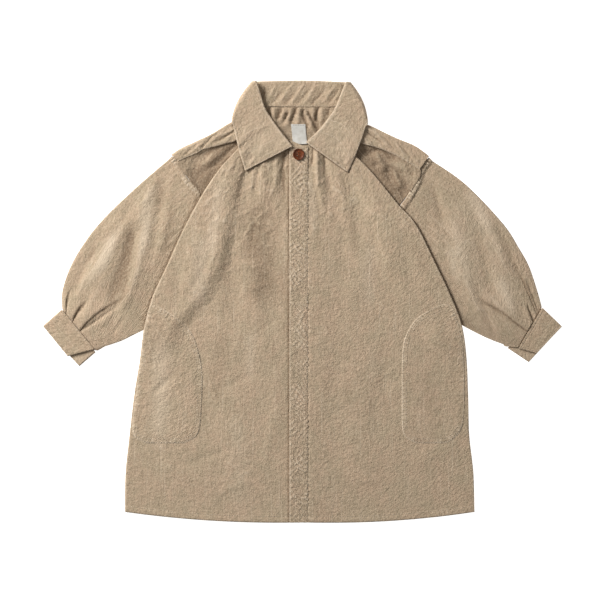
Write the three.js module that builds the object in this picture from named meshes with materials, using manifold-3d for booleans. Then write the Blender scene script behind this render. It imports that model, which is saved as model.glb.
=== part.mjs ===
// A child's linen painter coat, buttoned at the neck and laid out flat, in millimetres.
// X runs across the coat, Y from the hem up to the collar, and Z up from the table that it lies on.
// Left and right are as seen from above, with the collar at the top.
import * as THREE from "three";
import { mergeVertices } from "three/addons/utils/BufferGeometryUtils.js";
import Module from "manifold-3d";

const wasm = await Module();
wasm.setup();

// Cloth walls, and the clear space between two pieces
const CLOTH = 1.2;
const COLLAR_CLOTH = 1.5;
const DOUBLED_CLOTH = 1.6;
const POCKET_CLOTH = 1;
const LABEL_CLOTH = 1;
const SEAM_GAP = 0.3;

// Heights of the middle of the cloth where its layers lie on each other
const ON_TABLE = CLOTH / 2;
const SLEEVE_TOP = 2.4;
const FRONT_LOW = 3;
const FRONT_OVER_SLEEVE = 7.2;
const YOKE_TOP = 7.2;
const YOKE_SLOPE = 0.8;
const LAP = CLOTH + SEAM_GAP;
const COLLAR_TOP = 12.4;
const COLLAR_EDGE_DROP = 0.9;

// Radii of the folds, to the middle of the cloth
const FRONT_FOLD = 1.2;
const ROLL_FOLD = 1.25;

// The front fly: a folded band that covers the buttoning, with one button above it
const FLY = { left: -17.6, right: 7.6, top: 210, bottom: -297.5 };
const BUTTON = { x: -5.5, y: 199.8, radius: 7.5, thick: 2.6, rim: 1.1, holeRadius: 0.9, holeOffset: 1.7 };

// Each front from the neck to the hem. inner: the edge at the fly. edge: the outer fold, and lower down
// the side of the coat. tuck: how far the cloth runs back under that fold. join: where the upper front
// then comes out to the yoke seam and the armhole.
const FRONT = {
  left: [
    { inner: [5, 208], edge: [-60, 238], tuck: 7, join: [-69, 240] },
    { inner: [5, 198], edge: [-72, 225], tuck: 9, join: [-98, 219] },
    { inner: [5, 187], edge: [-84.5, 210], tuck: 12, join: [-123, 210.5] },
    { inner: [5, 174], edge: [-99, 194], tuck: 14, join: [-146.5, 201] },
    { inner: [5, 159], edge: [-114, 177], tuck: 17, join: [-168.5, 188.5] },
    { inner: [5, 132], edge: [-137, 142], tuck: 26, join: [-149, 160] },
    { inner: [5, 93], edge: [-161.5, 96], tuck: 44, join: [-128, 119] },
    { inner: [5, 51], edge: [-182, 51], tuck: 58, join: [-130, 64] },
    { inner: [5, 5], edge: [-203, 5], tuck: 58, join: [-154, 9] },
    { inner: [5, -36], edge: [-214, -36], tuck: 32 },
    { inner: [5, -82], edge: [-220.5, -82], tuck: 28 },
    { inner: [5, -125], edge: [-227.5, -125], tuck: 24 },
    { inner: [5, -185], edge: [-234.5, -185], tuck: 18 },
    { inner: [5, -236], edge: [-239.5, -234], tuck: 13 },
    { inner: [5, -297.5], edge: [-240, -283.5], tuck: 8 },
  ],
  right: [
    { inner: [7.9, 210], edge: [43, 226], tuck: 7, join: [52, 227.5] },
    { inner: [7.9, 200], edge: [56, 213], tuck: 9, join: [81, 217] },
    { inner: [7.9, 187], edge: [71.5, 196.5], tuck: 12, join: [102, 211] },
    { inner: [7.9, 174], edge: [87.5, 181], tuck: 14, join: [130, 198] },
    { inner: [7.9, 158], edge: [104.5, 161.5], tuck: 17, join: [158, 177.5] },
    { inner: [7.9, 132], edge: [130, 130], tuck: 26, join: [146, 150] },
    { inner: [7.9, 97], edge: [153.5, 103], tuck: 40, join: [122.5, 116] },
    { inner: [7.9, 51], edge: [179.5, 51], tuck: 58, join: [125, 56] },
    { inner: [7.9, 5], edge: [201, 5], tuck: 56, join: [149, 9] },
    { inner: [7.9, -31], edge: [214.5, -31], tuck: 32 },
    { inner: [7.9, -72], edge: [221, -72], tuck: 28 },
    { inner: [7.9, -125], edge: [223.5, -125], tuck: 24 },
    { inner: [7.9, -180], edge: [225, -180], tuck: 18 },
    { inner: [7.9, -232], edge: [230.5, -230], tuck: 13 },
    { inner: [7.9, -297.5], edge: [232, -283.5], tuck: 8 },
  ],
};
const HEM_BOW = 5;
const YOKE_ROWS = 4;

// Armhole seams from the shoulder down to the underarm
const ARMHOLE = {
  left: [[-174.8, 196], [-168, 188], [-157.5, 169], [-138, 145.5], [-130, 118], [-129, 78], [-142, 30], [-180, -22]],
  right: [[168.3, 193.5], [157.5, 177.5], [154, 166], [141, 142], [125, 116], [123, 74], [137, 28], [182, -17]],
};

// Sleeves from the armhole to the cuff. outer: the edge below the shoulder. lower: the edge at the body.
const SLEEVE = {
  left: [
    { outer: [-174.8, 196], lower: [-180, -22] },
    { outer: [-224, 154], lower: [-205, -33.5] },
    { outer: [-269, 111], lower: [-228, -44.5] },
    { outer: [-294, 80], lower: [-243, -52] },
    { outer: [-312.5, 49], lower: [-258, -57.5] },
    { outer: [-324, 16], lower: [-270, -61] },
    { outer: [-324.5, -9.5], lower: [-280.5, -63.5] },
  ],
  right: [
    { outer: [168.3, 193.5], lower: [182, -17] },
    { outer: [218.5, 159], lower: [207, -27.5] },
    { outer: [270, 105.5], lower: [230, -39.5] },
    { outer: [292, 72], lower: [246, -47.5] },
    { outer: [305.5, 47.5], lower: [260, -53.5] },
    { outer: [317, 13.5], lower: [276, -59] },
    { outer: [322.5, -7], lower: [290.5, -62.5] },
  ],
};

// Cuffs. hand: the two corners of the top layer at the hand. tab: the corners of the under layer's end,
// at the hand and at the seam, which shows below the top layer.
const CUFF = {
  left: { hand: [[-349.5, -32.5], [-317, -73.5]], tab: [[-301.5, -87], [-277, -66]] },
  right: { hand: [[350, -33], [315.5, -69.5]], tab: [[305, -81.5], [273.5, -60.5]] },
};

// Pleats that take the sleeve into the cuff. at: place along the seam, from the outer edge to the lower one.
const PLEATS = {
  left: [{ at: 0.1, reach: 0.35 }, { at: 0.32, reach: 0.3 }, { at: 0.55, reach: 0.45 }],
  right: [{ at: 0.16, reach: 0.45 }, { at: 0.36, reach: 0.25 }, { at: 0.6, reach: 0.42 }],
};
const PLEAT_HEIGHT = 2.2;
const PLEAT_STEP = 0.025;
const SLEEVE_PUFF = 1.6;

// The back from the armhole round the shoulder and neck: the line where the cloth turns over the shoulder
// to the front, and the seam in front of it where the front is gathered in.
const SHOULDER = {
  left: {
    ridge: [[-174.8, 196.5], [-161.5, 204.8], [-141, 214.5], [-120, 226.5], [-98, 239.5], [-82, 246], [-77, 262]],
    seam: [[-168, 189.4], [-156.5, 194.8], [-140, 201.8], [-133, 205.5], [-107, 212.3], [-88, 218.5], [-67, 237]],
  },
  right: {
    ridge: [[168.3, 194], [160.5, 200.3], [147, 209], [124, 218.5], [94, 234], [77, 243], [69, 262]],
    seam: [[157.5, 178.2], [146, 185.3], [136, 191.6], [121, 199.3], [102, 207.2], [82, 212.8], [51, 224.5]],
  },
};
const BACK_NECK = [[-77, 262], [-64, 262.5], [-48, 263], [1, 264.5], [42, 263], [56, 262.5], [69, 262]];
const BACK_COLUMNS = { shoulder: 7, neck: 18 };
const NECK_GATHERS = { waves: 8, height: 1.3, length: 42 };

// The collar from its left front end round the neck to the right. roll: where it folds over. edge: its
// outer edge. stand: the height of the part inside the fold.
const COLLAR = {
  left: [
    { roll: [-13.4, 209.5], edge: [-74.8, 178], stand: 3.5 },
    { roll: [-35, 237.5], edge: [-83, 200], stand: 11 },
    { roll: [-51, 262], edge: [-90.5, 226], stand: 20 },
    { roll: [-66.4, 297.4], edge: [-95.4, 246.5], stand: 31 },
  ],
  right: [
    { roll: [4.2, 214.7], edge: [61, 176], stand: 3.5 },
    { roll: [24, 234.5], edge: [72, 199.5], stand: 11 },
    { roll: [43, 260], edge: [81, 224], stand: 20 },
    { roll: [64.5, 296.6], edge: [87.3, 245], stand: 31 },
  ],
  back: { roll: [1, 299], edge: [1, 235], stand: 32.2 },
  sideBulge: 5,
};

// Patch pockets, a row for each level: y, then the x of the inner and the outer edge
const POCKET = {
  left: [
    { y: -5, inner: -196, outer: -203 }, { y: -12, inner: -184, outer: -208 }, { y: -22, inner: -169, outer: -210.5 },
    { y: -40, inner: -151, outer: -214 }, { y: -62, inner: -141.5, outer: -216.5 }, { y: -95, inner: -135, outer: -221 },
    { y: -140, inner: -136, outer: -227 }, { y: -170, inner: -138.5, outer: -230 }, { y: -183, inner: -145, outer: -226 },
    { y: -191, inner: -160, outer: -210 },
  ],
  right: [
    { y: -3, inner: 189, outer: 197 }, { y: -10, inner: 173, outer: 203 }, { y: -22, inner: 154, outer: 207.5 },
    { y: -40, inner: 141.5, outer: 212.5 }, { y: -60, inner: 135, outer: 216.5 }, { y: -95, inner: 133.5, outer: 218.5 },
    { y: -140, inner: 133.5, outer: 218.5 }, { y: -170, inner: 134, outer: 215 }, { y: -183, inner: 139, outer: 206 },
    { y: -191, inner: 153, outer: 193 },
  ],
};

// A woven label, sewn by its top edge to the inside of the back
const LABEL = { left: -15, right: 4.5, top: 239.5, bottom: 214.5 };

// Large soft folds: a ridge, or a trough where the height is negative, along a line from one point to another
const FRONT_FOLDS = {
  left: [
    { from: [-28, 200], to: [-32, 130], width: 7, height: -0.9 },
    { from: [-46, 205], to: [-58, 120], width: 9, height: 1.1 },
    { from: [-66, 205], to: [-86, 110], width: 9, height: -0.8 },
    { from: [-70, 120], to: [-60, -60], width: 22, height: 1.2 },
    { from: [-115, 95], to: [-105, -20], width: 16, height: -0.7 },
    { from: [-40, 60], to: [-95, -10], width: 14, height: -0.8 },
    { from: [-120, -30], to: [-35, -75], width: 15, height: 0.9 },
    { from: [-80, -110], to: [-90, -270], width: 22, height: 0.9 },
    { from: [-190, -215], to: [-120, -255], width: 12, height: 0.6 },
  ],
  right: [
    { from: [20, 205], to: [26, 130], width: 7, height: 0.9 },
    { from: [31, 205], to: [40, 140], width: 6, height: -0.9 },
    { from: [42, 195], to: [62, 90], width: 10, height: 0.8 },
    { from: [90, 120], to: [60, -20], width: 20, height: 1.1 },
    { from: [60, 50], to: [120, -40], width: 16, height: -0.7 },
    { from: [70, -70], to: [80, -250], width: 24, height: 0.9 },
    { from: [150, -215], to: [215, -190], width: 12, height: 0.7 },
  ],
};
const SLEEVE_FOLDS = {
  left: [
    { from: [-205, 150], to: [-262, 40], width: 13, height: 1.2 },
    { from: [-190, 110], to: [-236, 10], width: 12, height: -0.8 },
    { from: [-265, 90], to: [-300, 30], width: 9, height: 0.9 },
  ],
  right: [
    { from: [205, 140], to: [255, 50], width: 14, height: 1.1 },
    { from: [262, 90], to: [300, 30], width: 9, height: 1 },
    { from: [190, 90], to: [235, 0], width: 12, height: -0.7 },
  ],
};

const SIDES = ["left", "right"];
const clamp01 = (t) => Math.min(1, Math.max(0, t));
const lerp = (a, b, t) => a + (b - a) * t;

// 0 below low, 1 above high, and smooth between
function ramp(value, low, high) {
  const t = clamp01((value - low) / (high - low));
  return t * t * (3 - 2 * t);
}

function spread(count) {
  return Array.from({ length: count + 1 }, (_, i) => i / count);
}

// A smooth line through a table's points, read from 0 to 1 with a table row at each equal step
function curveThrough(pairs) {
  const line = new THREE.SplineCurve(pairs.map(([x, y]) => new THREE.Vector2(x, y)));
  return (t) => line.getPoint(clamp01(t));
}

function column(rows, name) {
  return curveThrough(rows.map((row) => row[name]));
}

function numberThrough(numbers) {
  const line = curveThrough(numbers.map((n, i) => [i, n]));
  return (t) => line(t).y;
}

// The rise that a table of soft folds gives at a place
function foldRise(folds, x, y) {
  let rise = 0;
  for (const fold of folds) {
    const from = new THREE.Vector2(...fold.from);
    const line = new THREE.Vector2(...fold.to).sub(from);
    const away = new THREE.Vector2(x, y).sub(from);
    const along = away.dot(line) / line.lengthSq();
    const across = Math.abs(away.cross(line)) / line.length();
    const ends = ramp(along, -0.15, 0.2) * (1 - ramp(along, 0.75, 1.15));
    rise += fold.height * ends * Math.exp(-((across / fold.width) ** 2));
  }
  return rise;
}

// One piece of cloth: patches of points at the middle of its wall, welded where they meet
class Cloth {
  constructor(thickness) {
    this.half = thickness / 2;
    this.points = [];
    this.faces = [];
    this.known = new Map();
  }

  index(point) {
    const key = point.toArray().map((c) => Math.round(c * 1000)).join();
    if (!this.known.has(key)) this.known.set(key, this.points.push(point) - 1);
    return this.known.get(key);
  }

  // rows: rows of points, each row as long as the next
  patch(rows) {
    const ids = rows.map((row) => row.map((point) => this.index(point)));
    for (let r = 1; r < ids.length; r++)
      for (let c = 1; c < ids[r].length; c++) {
        const [a, b, d, e] = [ids[r - 1][c - 1], ids[r - 1][c], ids[r][c], ids[r][c - 1]];
        for (const face of [[a, b, d], [a, d, e]])
          if (new Set(face).size === 3) this.faces.push(face);
      }
    return this;
  }

  // The closed wall: both sides of the cloth, and a rim along each free edge
  geometry() {
    const middle = new THREE.BufferGeometry().setFromPoints(this.points).setIndex(this.faces.flat());
    middle.computeVertexNormals();
    const normal = middle.getAttribute("normal");
    const count = this.points.length;
    const sides = [this.half, -this.half].map((offset) =>
      this.points.map((point, i) =>
        point.clone().addScaledVector(new THREE.Vector3().fromBufferAttribute(normal, i), offset),
      ),
    );
    const edges = new Set(this.faces.flatMap(([a, b, c]) => [`${a},${b}`, `${b},${c}`, `${c},${a}`]));
    const rim = [...edges]
      .map((edge) => edge.split(",").map(Number))
      .filter(([a, b]) => !edges.has(`${b},${a}`))
      .flatMap(([a, b]) => [[b, a, a + count], [b, a + count, b + count]]);
    const inside = this.faces.map(([a, b, c]) => [a + count, c + count, b + count]);
    return new THREE.BufferGeometry()
      .setFromPoints(sides.flat())
      .setIndex([...this.faces, ...inside, ...rim].flat());
  }
}

// Points round half a turn, from below a centre to above it, bulging the way that out points
function halfTurn(centre, out, radius, steps, up = new THREE.Vector3(0, 0, 1)) {
  return Array.from({ length: steps + 1 }, (_, i) => {
    const angle = (i / steps - 0.5) * Math.PI;
    return centre
      .clone()
      .addScaledVector(out, radius * Math.cos(angle))
      .addScaledVector(up, radius * Math.sin(angle));
  });
}

const at = (flat, z) => new THREE.Vector3(flat.x, flat.y, z);
const heading = (from, to) => new THREE.Vector3(to.x - from.x, to.y - from.y, 0).normalize();

// How far the back is lifted near the neck, where it lies over the collar
function overCollar(x, y) {
  const [left, right] = SIDES.map((side) => COLLAR[side][COLLAR[side].length - 1].edge[0]);
  const beside = Math.abs(x - (left + right) / 2) - (right - left) / 2;
  return (COLLAR_CLOTH + SEAM_GAP) * ramp(y, 222, 235) * (1 - ramp(beside, 2, 18));
}

// A front's outer edge, and the width of its tuck, at a height up the coat
function frontAt(side, y) {
  const rows = FRONT[side];
  const below = Math.max(1, rows.findIndex((row) => row.edge[1] <= y));
  const lower = y < rows[rows.length - 1].edge[1] ? rows.length - 1 : below;
  const [a, b] = [rows[lower - 1], rows[lower]];
  const t = clamp01((y - b.edge[1]) / (a.edge[1] - b.edge[1]));
  return { edge: lerp(b.edge[0], a.edge[0], t), tuck: lerp(b.tuck, a.tuck, t) };
}

// The middle of a front's cloth. It lies low over the back, and climbs over its own tuck and the sleeve,
// at the neck and beside the fly.
function frontHeight(side, x, y) {
  const { edge, tuck } = frontAt(side, y);
  const inwards = Math.abs(edge) - Math.abs(x);
  const overSleeve = ramp(y, -85, -38) * (1 - ramp(inwards, tuck, tuck + 28));
  const atNeck = 0.4 * ramp(y, 140, 200);
  const besideFly = side === "right" ? 0.42 * (1 - ramp(x, FLY.right, FLY.right + 45)) : 0;
  const climb = 1 - (1 - overSleeve) * (1 - atNeck) * (1 - besideFly);
  const clearOfFly = ramp(Math.abs(x - (FLY.left + FLY.right) / 2), 12, 30);
  const nearEdge = 0.2 + 0.8 * ramp(inwards, 0, 30);
  const rise = foldRise(FRONT_FOLDS[side], x, y) * clearOfFly * nearEdge;
  return lerp(FRONT_LOW, FRONT_OVER_SLEEVE, climb) + rise + overCollar(x, y);
}

// Rows of a front, as shares of its table: closer together at the gathered neck
function frontRows() {
  const last = FRONT.left.length - 1;
  const rows = [];
  for (let row = 0; row < last; row++) rows.push(row / last, (row + 0.5) / last);
  return [...rows.filter((_, i) => i % 2 === 0 || i < 3 || i > 10), 1];
}

// The lines of a front at a share of the way down: its inner edge, its fold and the end of its tuck
function frontLine(side, v) {
  const table = FRONT[side];
  const start = column(table, "inner")(v);
  const end = column(table, "edge")(v);
  const tuck = numberThrough(table.map((row) => row.tuck))(v);
  const out = heading(start, end);
  const fold = end.clone().addScaledVector(out, -(FRONT_FOLD + CLOTH / 2));
  return { start, out, fold, tuckEnd: end.clone().addScaledVector(out, -tuck), low: ramp(end.y, -50, -20) };
}

// Where the upper front ends: under the yoke as far as the shoulder, over the sleeve's edge where that
// shows, and beside it where it is hidden
function upperFrontEnd(side, v) {
  const joined = FRONT[side].filter((row) => row.join);
  const row = v * (FRONT[side].length - 1);
  const place = column(joined, "join")(row / (joined.length - 1));
  const underYoke = YOKE_TOP - YOKE_SLOPE - LAP - SLEEVE_TOP;
  const lift = lerp(underYoke, LAP, ramp(row, YOKE_ROWS, YOKE_ROWS + 1)) * (row > YOKE_ROWS + 1 ? 0 : 1);
  return at(place, SLEEVE_TOP + lift);
}

// A front: the panel, its outer fold, the tuck under it, and the upper front that comes out again
function frontPanel(side) {
  const lastJoined = FRONT[side].findLastIndex((row) => row.join) / (FRONT[side].length - 1);
  const upper = [];
  const under = [];
  for (const v of frontRows()) {
    const { start, out, fold, tuckEnd, low } = frontLine(side, v);
    const bow = HEM_BOW * ramp(v, 0.85, 1);
    const panel = spread(16).map((u) => {
      const place = start.clone().lerp(fold, u);
      place.y -= bow * 4 * u * (1 - u);
      return at(place, frontHeight(side, place.x, place.y));
    });
    const top = panel[panel.length - 1].z;
    const turn = halfTurn(at(fold, top - FRONT_FOLD), out, FRONT_FOLD, 4).reverse();
    const tuckTop = top - 2 * FRONT_FOLD;
    const tuckLow = lerp(ON_TABLE, tuckTop, low);
    const back = [0.5, 1].map((u) => at(fold.clone().lerp(tuckEnd, u), lerp(tuckTop, tuckLow, u)));
    upper.push([...panel, ...turn.slice(1), ...back]);
    if (v > lastJoined + 1e-9) continue;
    const hidden = back[1];
    const inner = SLEEVE_TOP + 2 * SEAM_GAP * ramp(tuckEnd.y, 190, 215) + overCollar(tuckEnd.x, tuckEnd.y);
    const radius = (hidden.z - inner) / 2;
    const seam = upperFrontEnd(side, v);
    const away = heading(tuckEnd, seam);
    const turnBack = halfTurn(at(tuckEnd, hidden.z - radius), away.clone().negate(), radius, 4).reverse();
    const comingOut = [0.35, 0.7, 0.85, 1].map((u) =>
      at(tuckEnd.clone().lerp(seam, u), lerp(inner, seam.z, ramp(u, 0.6, 1))),
    );
    under.push([hidden, ...turnBack.slice(1), ...comingOut]);
  }
  return new Cloth(CLOTH).patch(upper).patch(under).geometry();
}

// Shares of the armhole, from the shoulder down, where the back and the sleeve have matching corners
const ARMHOLE_STEPS = [0, 1, 2, 3, 4, 6, 8, 10, 12, 14].map((step) => step / 14);

// A side edge of the back from the hem up: beside the front's tuck, then along the armhole
function backSide(side) {
  const inwards = side === "left" ? 1 : -1;
  const rows = FRONT[side].length - 1;
  const seam = FRONT[side].map((row, r) => (row.join ? null : frontLine(side, r / rows))).filter(Boolean);
  const armhole = curveThrough(ARMHOLE[side]);
  return [
    ...seam.reverse().map(({ tuckEnd }) => new THREE.Vector2(tuckEnd.x + inwards * 2 * SEAM_GAP, tuckEnd.y)),
    ...[...ARMHOLE_STEPS].reverse().map((t) => {
      const place = armhole(t);
      place.x += inwards * 3 * SEAM_GAP * Math.min(1, 5 * t);
      return place;
    }),
  ];
}

// The back with its neck gathers, turned over each shoulder to the seam in front
function backPanel() {
  const ridge = { left: curveThrough(SHOULDER.left.ridge), right: curveThrough(SHOULDER.right.ridge) };
  const seam = { left: curveThrough(SHOULDER.left.seam), right: curveThrough(SHOULDER.right.seam) };
  const neck = curveThrough(BACK_NECK);
  const shoulder = spread(BACK_COLUMNS.shoulder);
  const tops = [
    ...shoulder.map((t) => ridge.left(t)),
    ...spread(BACK_COLUMNS.neck).slice(1, -1).map((t) => neck(t)),
    ...shoulder.map((t) => ridge.right(1 - t)),
  ];
  const [left, right] = SIDES.map(backSide);
  const last = tops.length - 1;
  const rows = left.map((leftEnd, k) => {
    const rightEnd = right[k];
    const v = (leftEnd.y - left[0].y) / (left[left.length - 1].y - left[0].y);
    return tops.map((top, i) => {
      const u = i / last;
      const low = left[0].clone().lerp(right[0], u);
      low.y += (FLY.bottom - left[0].y) * (1 - (2 * u - 1) ** 2);
      const place = low.lerp(top, v);
      place.addScaledVector(leftEnd.clone().sub(left[0].clone().lerp(tops[0], v)), 1 - u);
      place.addScaledVector(rightEnd.clone().sub(right[0].clone().lerp(tops[last], v)), u);
      const inNeck = clamp01((i - BACK_COLUMNS.shoulder) / BACK_COLUMNS.neck);
      const down = Math.hypot(top.x - place.x, top.y - place.y);
      const fade = (1 - ramp(down, 4, NECK_GATHERS.length)) * ramp(inNeck, 0.1, 0.22) * (1 - ramp(inNeck, 0.78, 0.9));
      const wave = (1 - Math.cos(2 * Math.PI * NECK_GATHERS.waves * inNeck)) / 2;
      return at(place, ON_TABLE + overCollar(place.x, place.y) + NECK_GATHERS.height * fade * wave);
    });
  });
  const cloth = new Cloth(CLOTH).patch(rows);
  const topRow = rows[rows.length - 1];
  for (const name of SIDES) {
    const columns = shoulder.map((t) => {
      const step = Math.round(t * BACK_COLUMNS.shoulder);
      const base = topRow[name === "left" ? step : last - step];
      const front = seam[name](t);
      const out = heading(front, base);
      const radius = (YOKE_TOP - base.z) / 2;
      const turn = halfTurn(at(base, base.z + radius), out, radius, 4);
      const flat = [0.35, 0.7, 1].map((u) => at(new THREE.Vector2(base.x, base.y).lerp(front, u), YOKE_TOP - YOKE_SLOPE * u));
      return [base, ...turn.slice(1), ...flat];
    });
    if (name === "right") columns.reverse();
    const rowsOver = columns[0].map((_, r) => columns.map((c) => c[r]));
    cloth.patch(rowsOver);
  }
  return cloth.geometry();
}

// Where pleats lift the sleeve's top layer near the cuff
function pleatRise(side, s, t) {
  let rise = 0;
  for (const pleat of PLEATS[side]) {
    const grows = ramp(s, 1 - pleat.reach, 1);
    const step = ramp(t, pleat.at - PLEAT_STEP, pleat.at + PLEAT_STEP);
    const fades = 1 - ramp(t, pleat.at + PLEAT_STEP, pleat.at + 0.2);
    rise += PLEAT_HEIGHT * grows * step * fades;
  }
  return rise;
}

// A sleeve: a flattened tube from the armhole to the cuff
function sleeve(side) {
  const table = SLEEVE[side];
  const outer = column(table, "outer");
  const lower = column(table, "lower");
  const armhole = curveThrough(ARMHOLE[side]);
  const away = side === "left" ? -1 : 1;
  const pleats = PLEATS[side].flatMap(({ at: place }) => [place - PLEAT_STEP, place + PLEAT_STEP]);
  const across = [0, 0.05, 0.22, 0.45, 0.7, 0.8, 0.9, 1, ...pleats].sort((a, b) => a - b);
  const cuffShift = new THREE.Vector2(...CUFF[side].tab[1]).sub(lower(1));
  const plan = (s, t) => {
    const straight = outer(s).lerp(lower(s), t);
    const bend = armhole(t).sub(outer(0).lerp(lower(0), t));
    return straight.addScaledVector(bend, (1 - s) ** 2);
  };
  const rings = [0.008, 0.07, 0.14, 0.22, 0.3, 0.4, 0.5, 0.6, 0.7, 0.79, 0.87, 0.94, 1].map((s) => {
    const toLower = heading(plan(s, 0), plan(s, 1));
    const inset = FRONT_FOLD + CLOTH / 2;
    const span = plan(s, 0).distanceTo(plan(s, 1));
    const share = inset / span;
    const layer = (t) => plan(s, lerp(share, 1 - share, t));
    const topHeight = (t, place) => {
      const clear = ramp(away * (place.x - frontAt(side, place.y).edge), 0, 30);
      const puff = Math.sin(Math.PI * t) ** 0.7 * ramp(s, 0.02, 0.35) * (1 - 0.4 * ramp(s, 0.8, 1));
      const rise = foldRise(SLEEVE_FOLDS[side], place.x, place.y) * Math.sin(Math.PI * t);
      return SLEEVE_TOP + 0.6 + clear * (SLEEVE_PUFF * puff + rise) - 0.6 * (1 - clear) + pleatRise(side, s, t) * Math.min(1, 12 * t * (1 - t));
    };
    const top = across.map((t) => {
      const place = layer(t);
      return at(place, topHeight(t, place));
    });
    const first = top[0];
    const end = top[top.length - 1];
    const underShift = (t) => cuffShift.clone().multiplyScalar(t * ramp(s, 0.75, 1));
    const edgeTurn = (point, out, shift) => {
      const radius = (point.z - ON_TABLE) / 2;
      const points = halfTurn(at(point, ON_TABLE + radius), out, radius, 4);
      return points.map((p, i) => p.add(at(shift, 0).multiplyScalar(1 - ramp(i / 4, 0.5, 1))));
    };
    const low = ARMHOLE_STEPS.slice(1, -1).reverse().map((t) => at(layer(t).add(underShift(t)), ON_TABLE));
    return [
      ...top,
      ...edgeTurn(end, toLower, underShift(1)).reverse().slice(1),
      ...low,
      ...edgeTurn(first, toLower.clone().negate(), underShift(0)),
    ];
  });
  return new Cloth(CLOTH).patch(rings).geometry();
}

// A cuff: one band folded at its outer edge, with its under end showing as a tab. The under layer starts
// a little further from the seam, clear of the sleeve's turn.
function cuff(side) {
  const table = SLEEVE[side];
  const seam = table[table.length - 1];
  const { hand, tab } = CUFF[side];
  const line = (from, to, v) => new THREE.Vector2(...from).lerp(new THREE.Vector2(...to), v);
  const inset = DOUBLED_CLOTH / 2 + FRONT_FOLD;
  const low = DOUBLED_CLOTH / 2;
  const rows = [0, 0.33, 0.67, 1].map((row) => {
    const [topShare, lowShare] = [lerp(0.025, 1, row), lerp(0.1, 1, row)];
    const front = line(seam.lower, hand[1], topShare);
    const out = heading(front, line(seam.outer, hand[0], topShare));
    const turnAt = (share) => line(seam.outer, hand[0], share).addScaledVector(out, -inset);
    const under = line(tab[1], tab[0], lowShare);
    const top = low + 2 * FRONT_FOLD + SEAM_GAP * (1 - row);
    const radius = (top - low) / 2;
    const turn = halfTurn(new THREE.Vector3(0, 0, low + radius), out, radius, 4).map((point, i) =>
      point.add(at(turnAt(lerp(lowShare, topShare, i / 4)), 0)),
    );
    return [
      ...spread(5).map((u) => at(front.clone().lerp(turnAt(topShare), u), top)),
      ...turn.reverse().slice(1),
      ...spread(5).slice(1).map((u) => at(turnAt(lowShare).lerp(under, u), low)),
    ];
  });
  return new Cloth(DOUBLED_CLOTH).patch(rows).geometry();
}

// The fly: the doubled band that laps over the left front
function fly() {
  const lift = CLOTH / 2 + SEAM_GAP + DOUBLED_CLOTH / 2;
  const rows = spread(24).map((v) => {
    const y = lerp(FLY.top, FLY.bottom, v);
    return spread(3).map((u) => {
      const x = lerp(FLY.left, FLY.right, u);
      return new THREE.Vector3(x, y, frontHeight("left", Math.max(x, FLY.left), y) + lift);
    });
  });
  return new Cloth(DOUBLED_CLOTH).patch(rows).geometry();
}

// A patch pocket, made from the front's own height and moved out from it
function pocket(side) {
  const lift = CLOTH / 2 + 3 * SEAM_GAP + POCKET_CLOTH / 2;
  const table = POCKET[side];
  const level = curveThrough(table.map((row) => [row.inner, row.y]));
  const outer = curveThrough(table.map((row) => [row.outer, row.y]));
  const rows = spread(14).map((v) =>
    spread(8).map((u) => {
      const place = level(v).lerp(outer(v), u);
      return at(place, frontHeight(side, place.x, place.y) + lift);
    }),
  );
  return new Cloth(POCKET_CLOTH).patch(rows).geometry();
}

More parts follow.
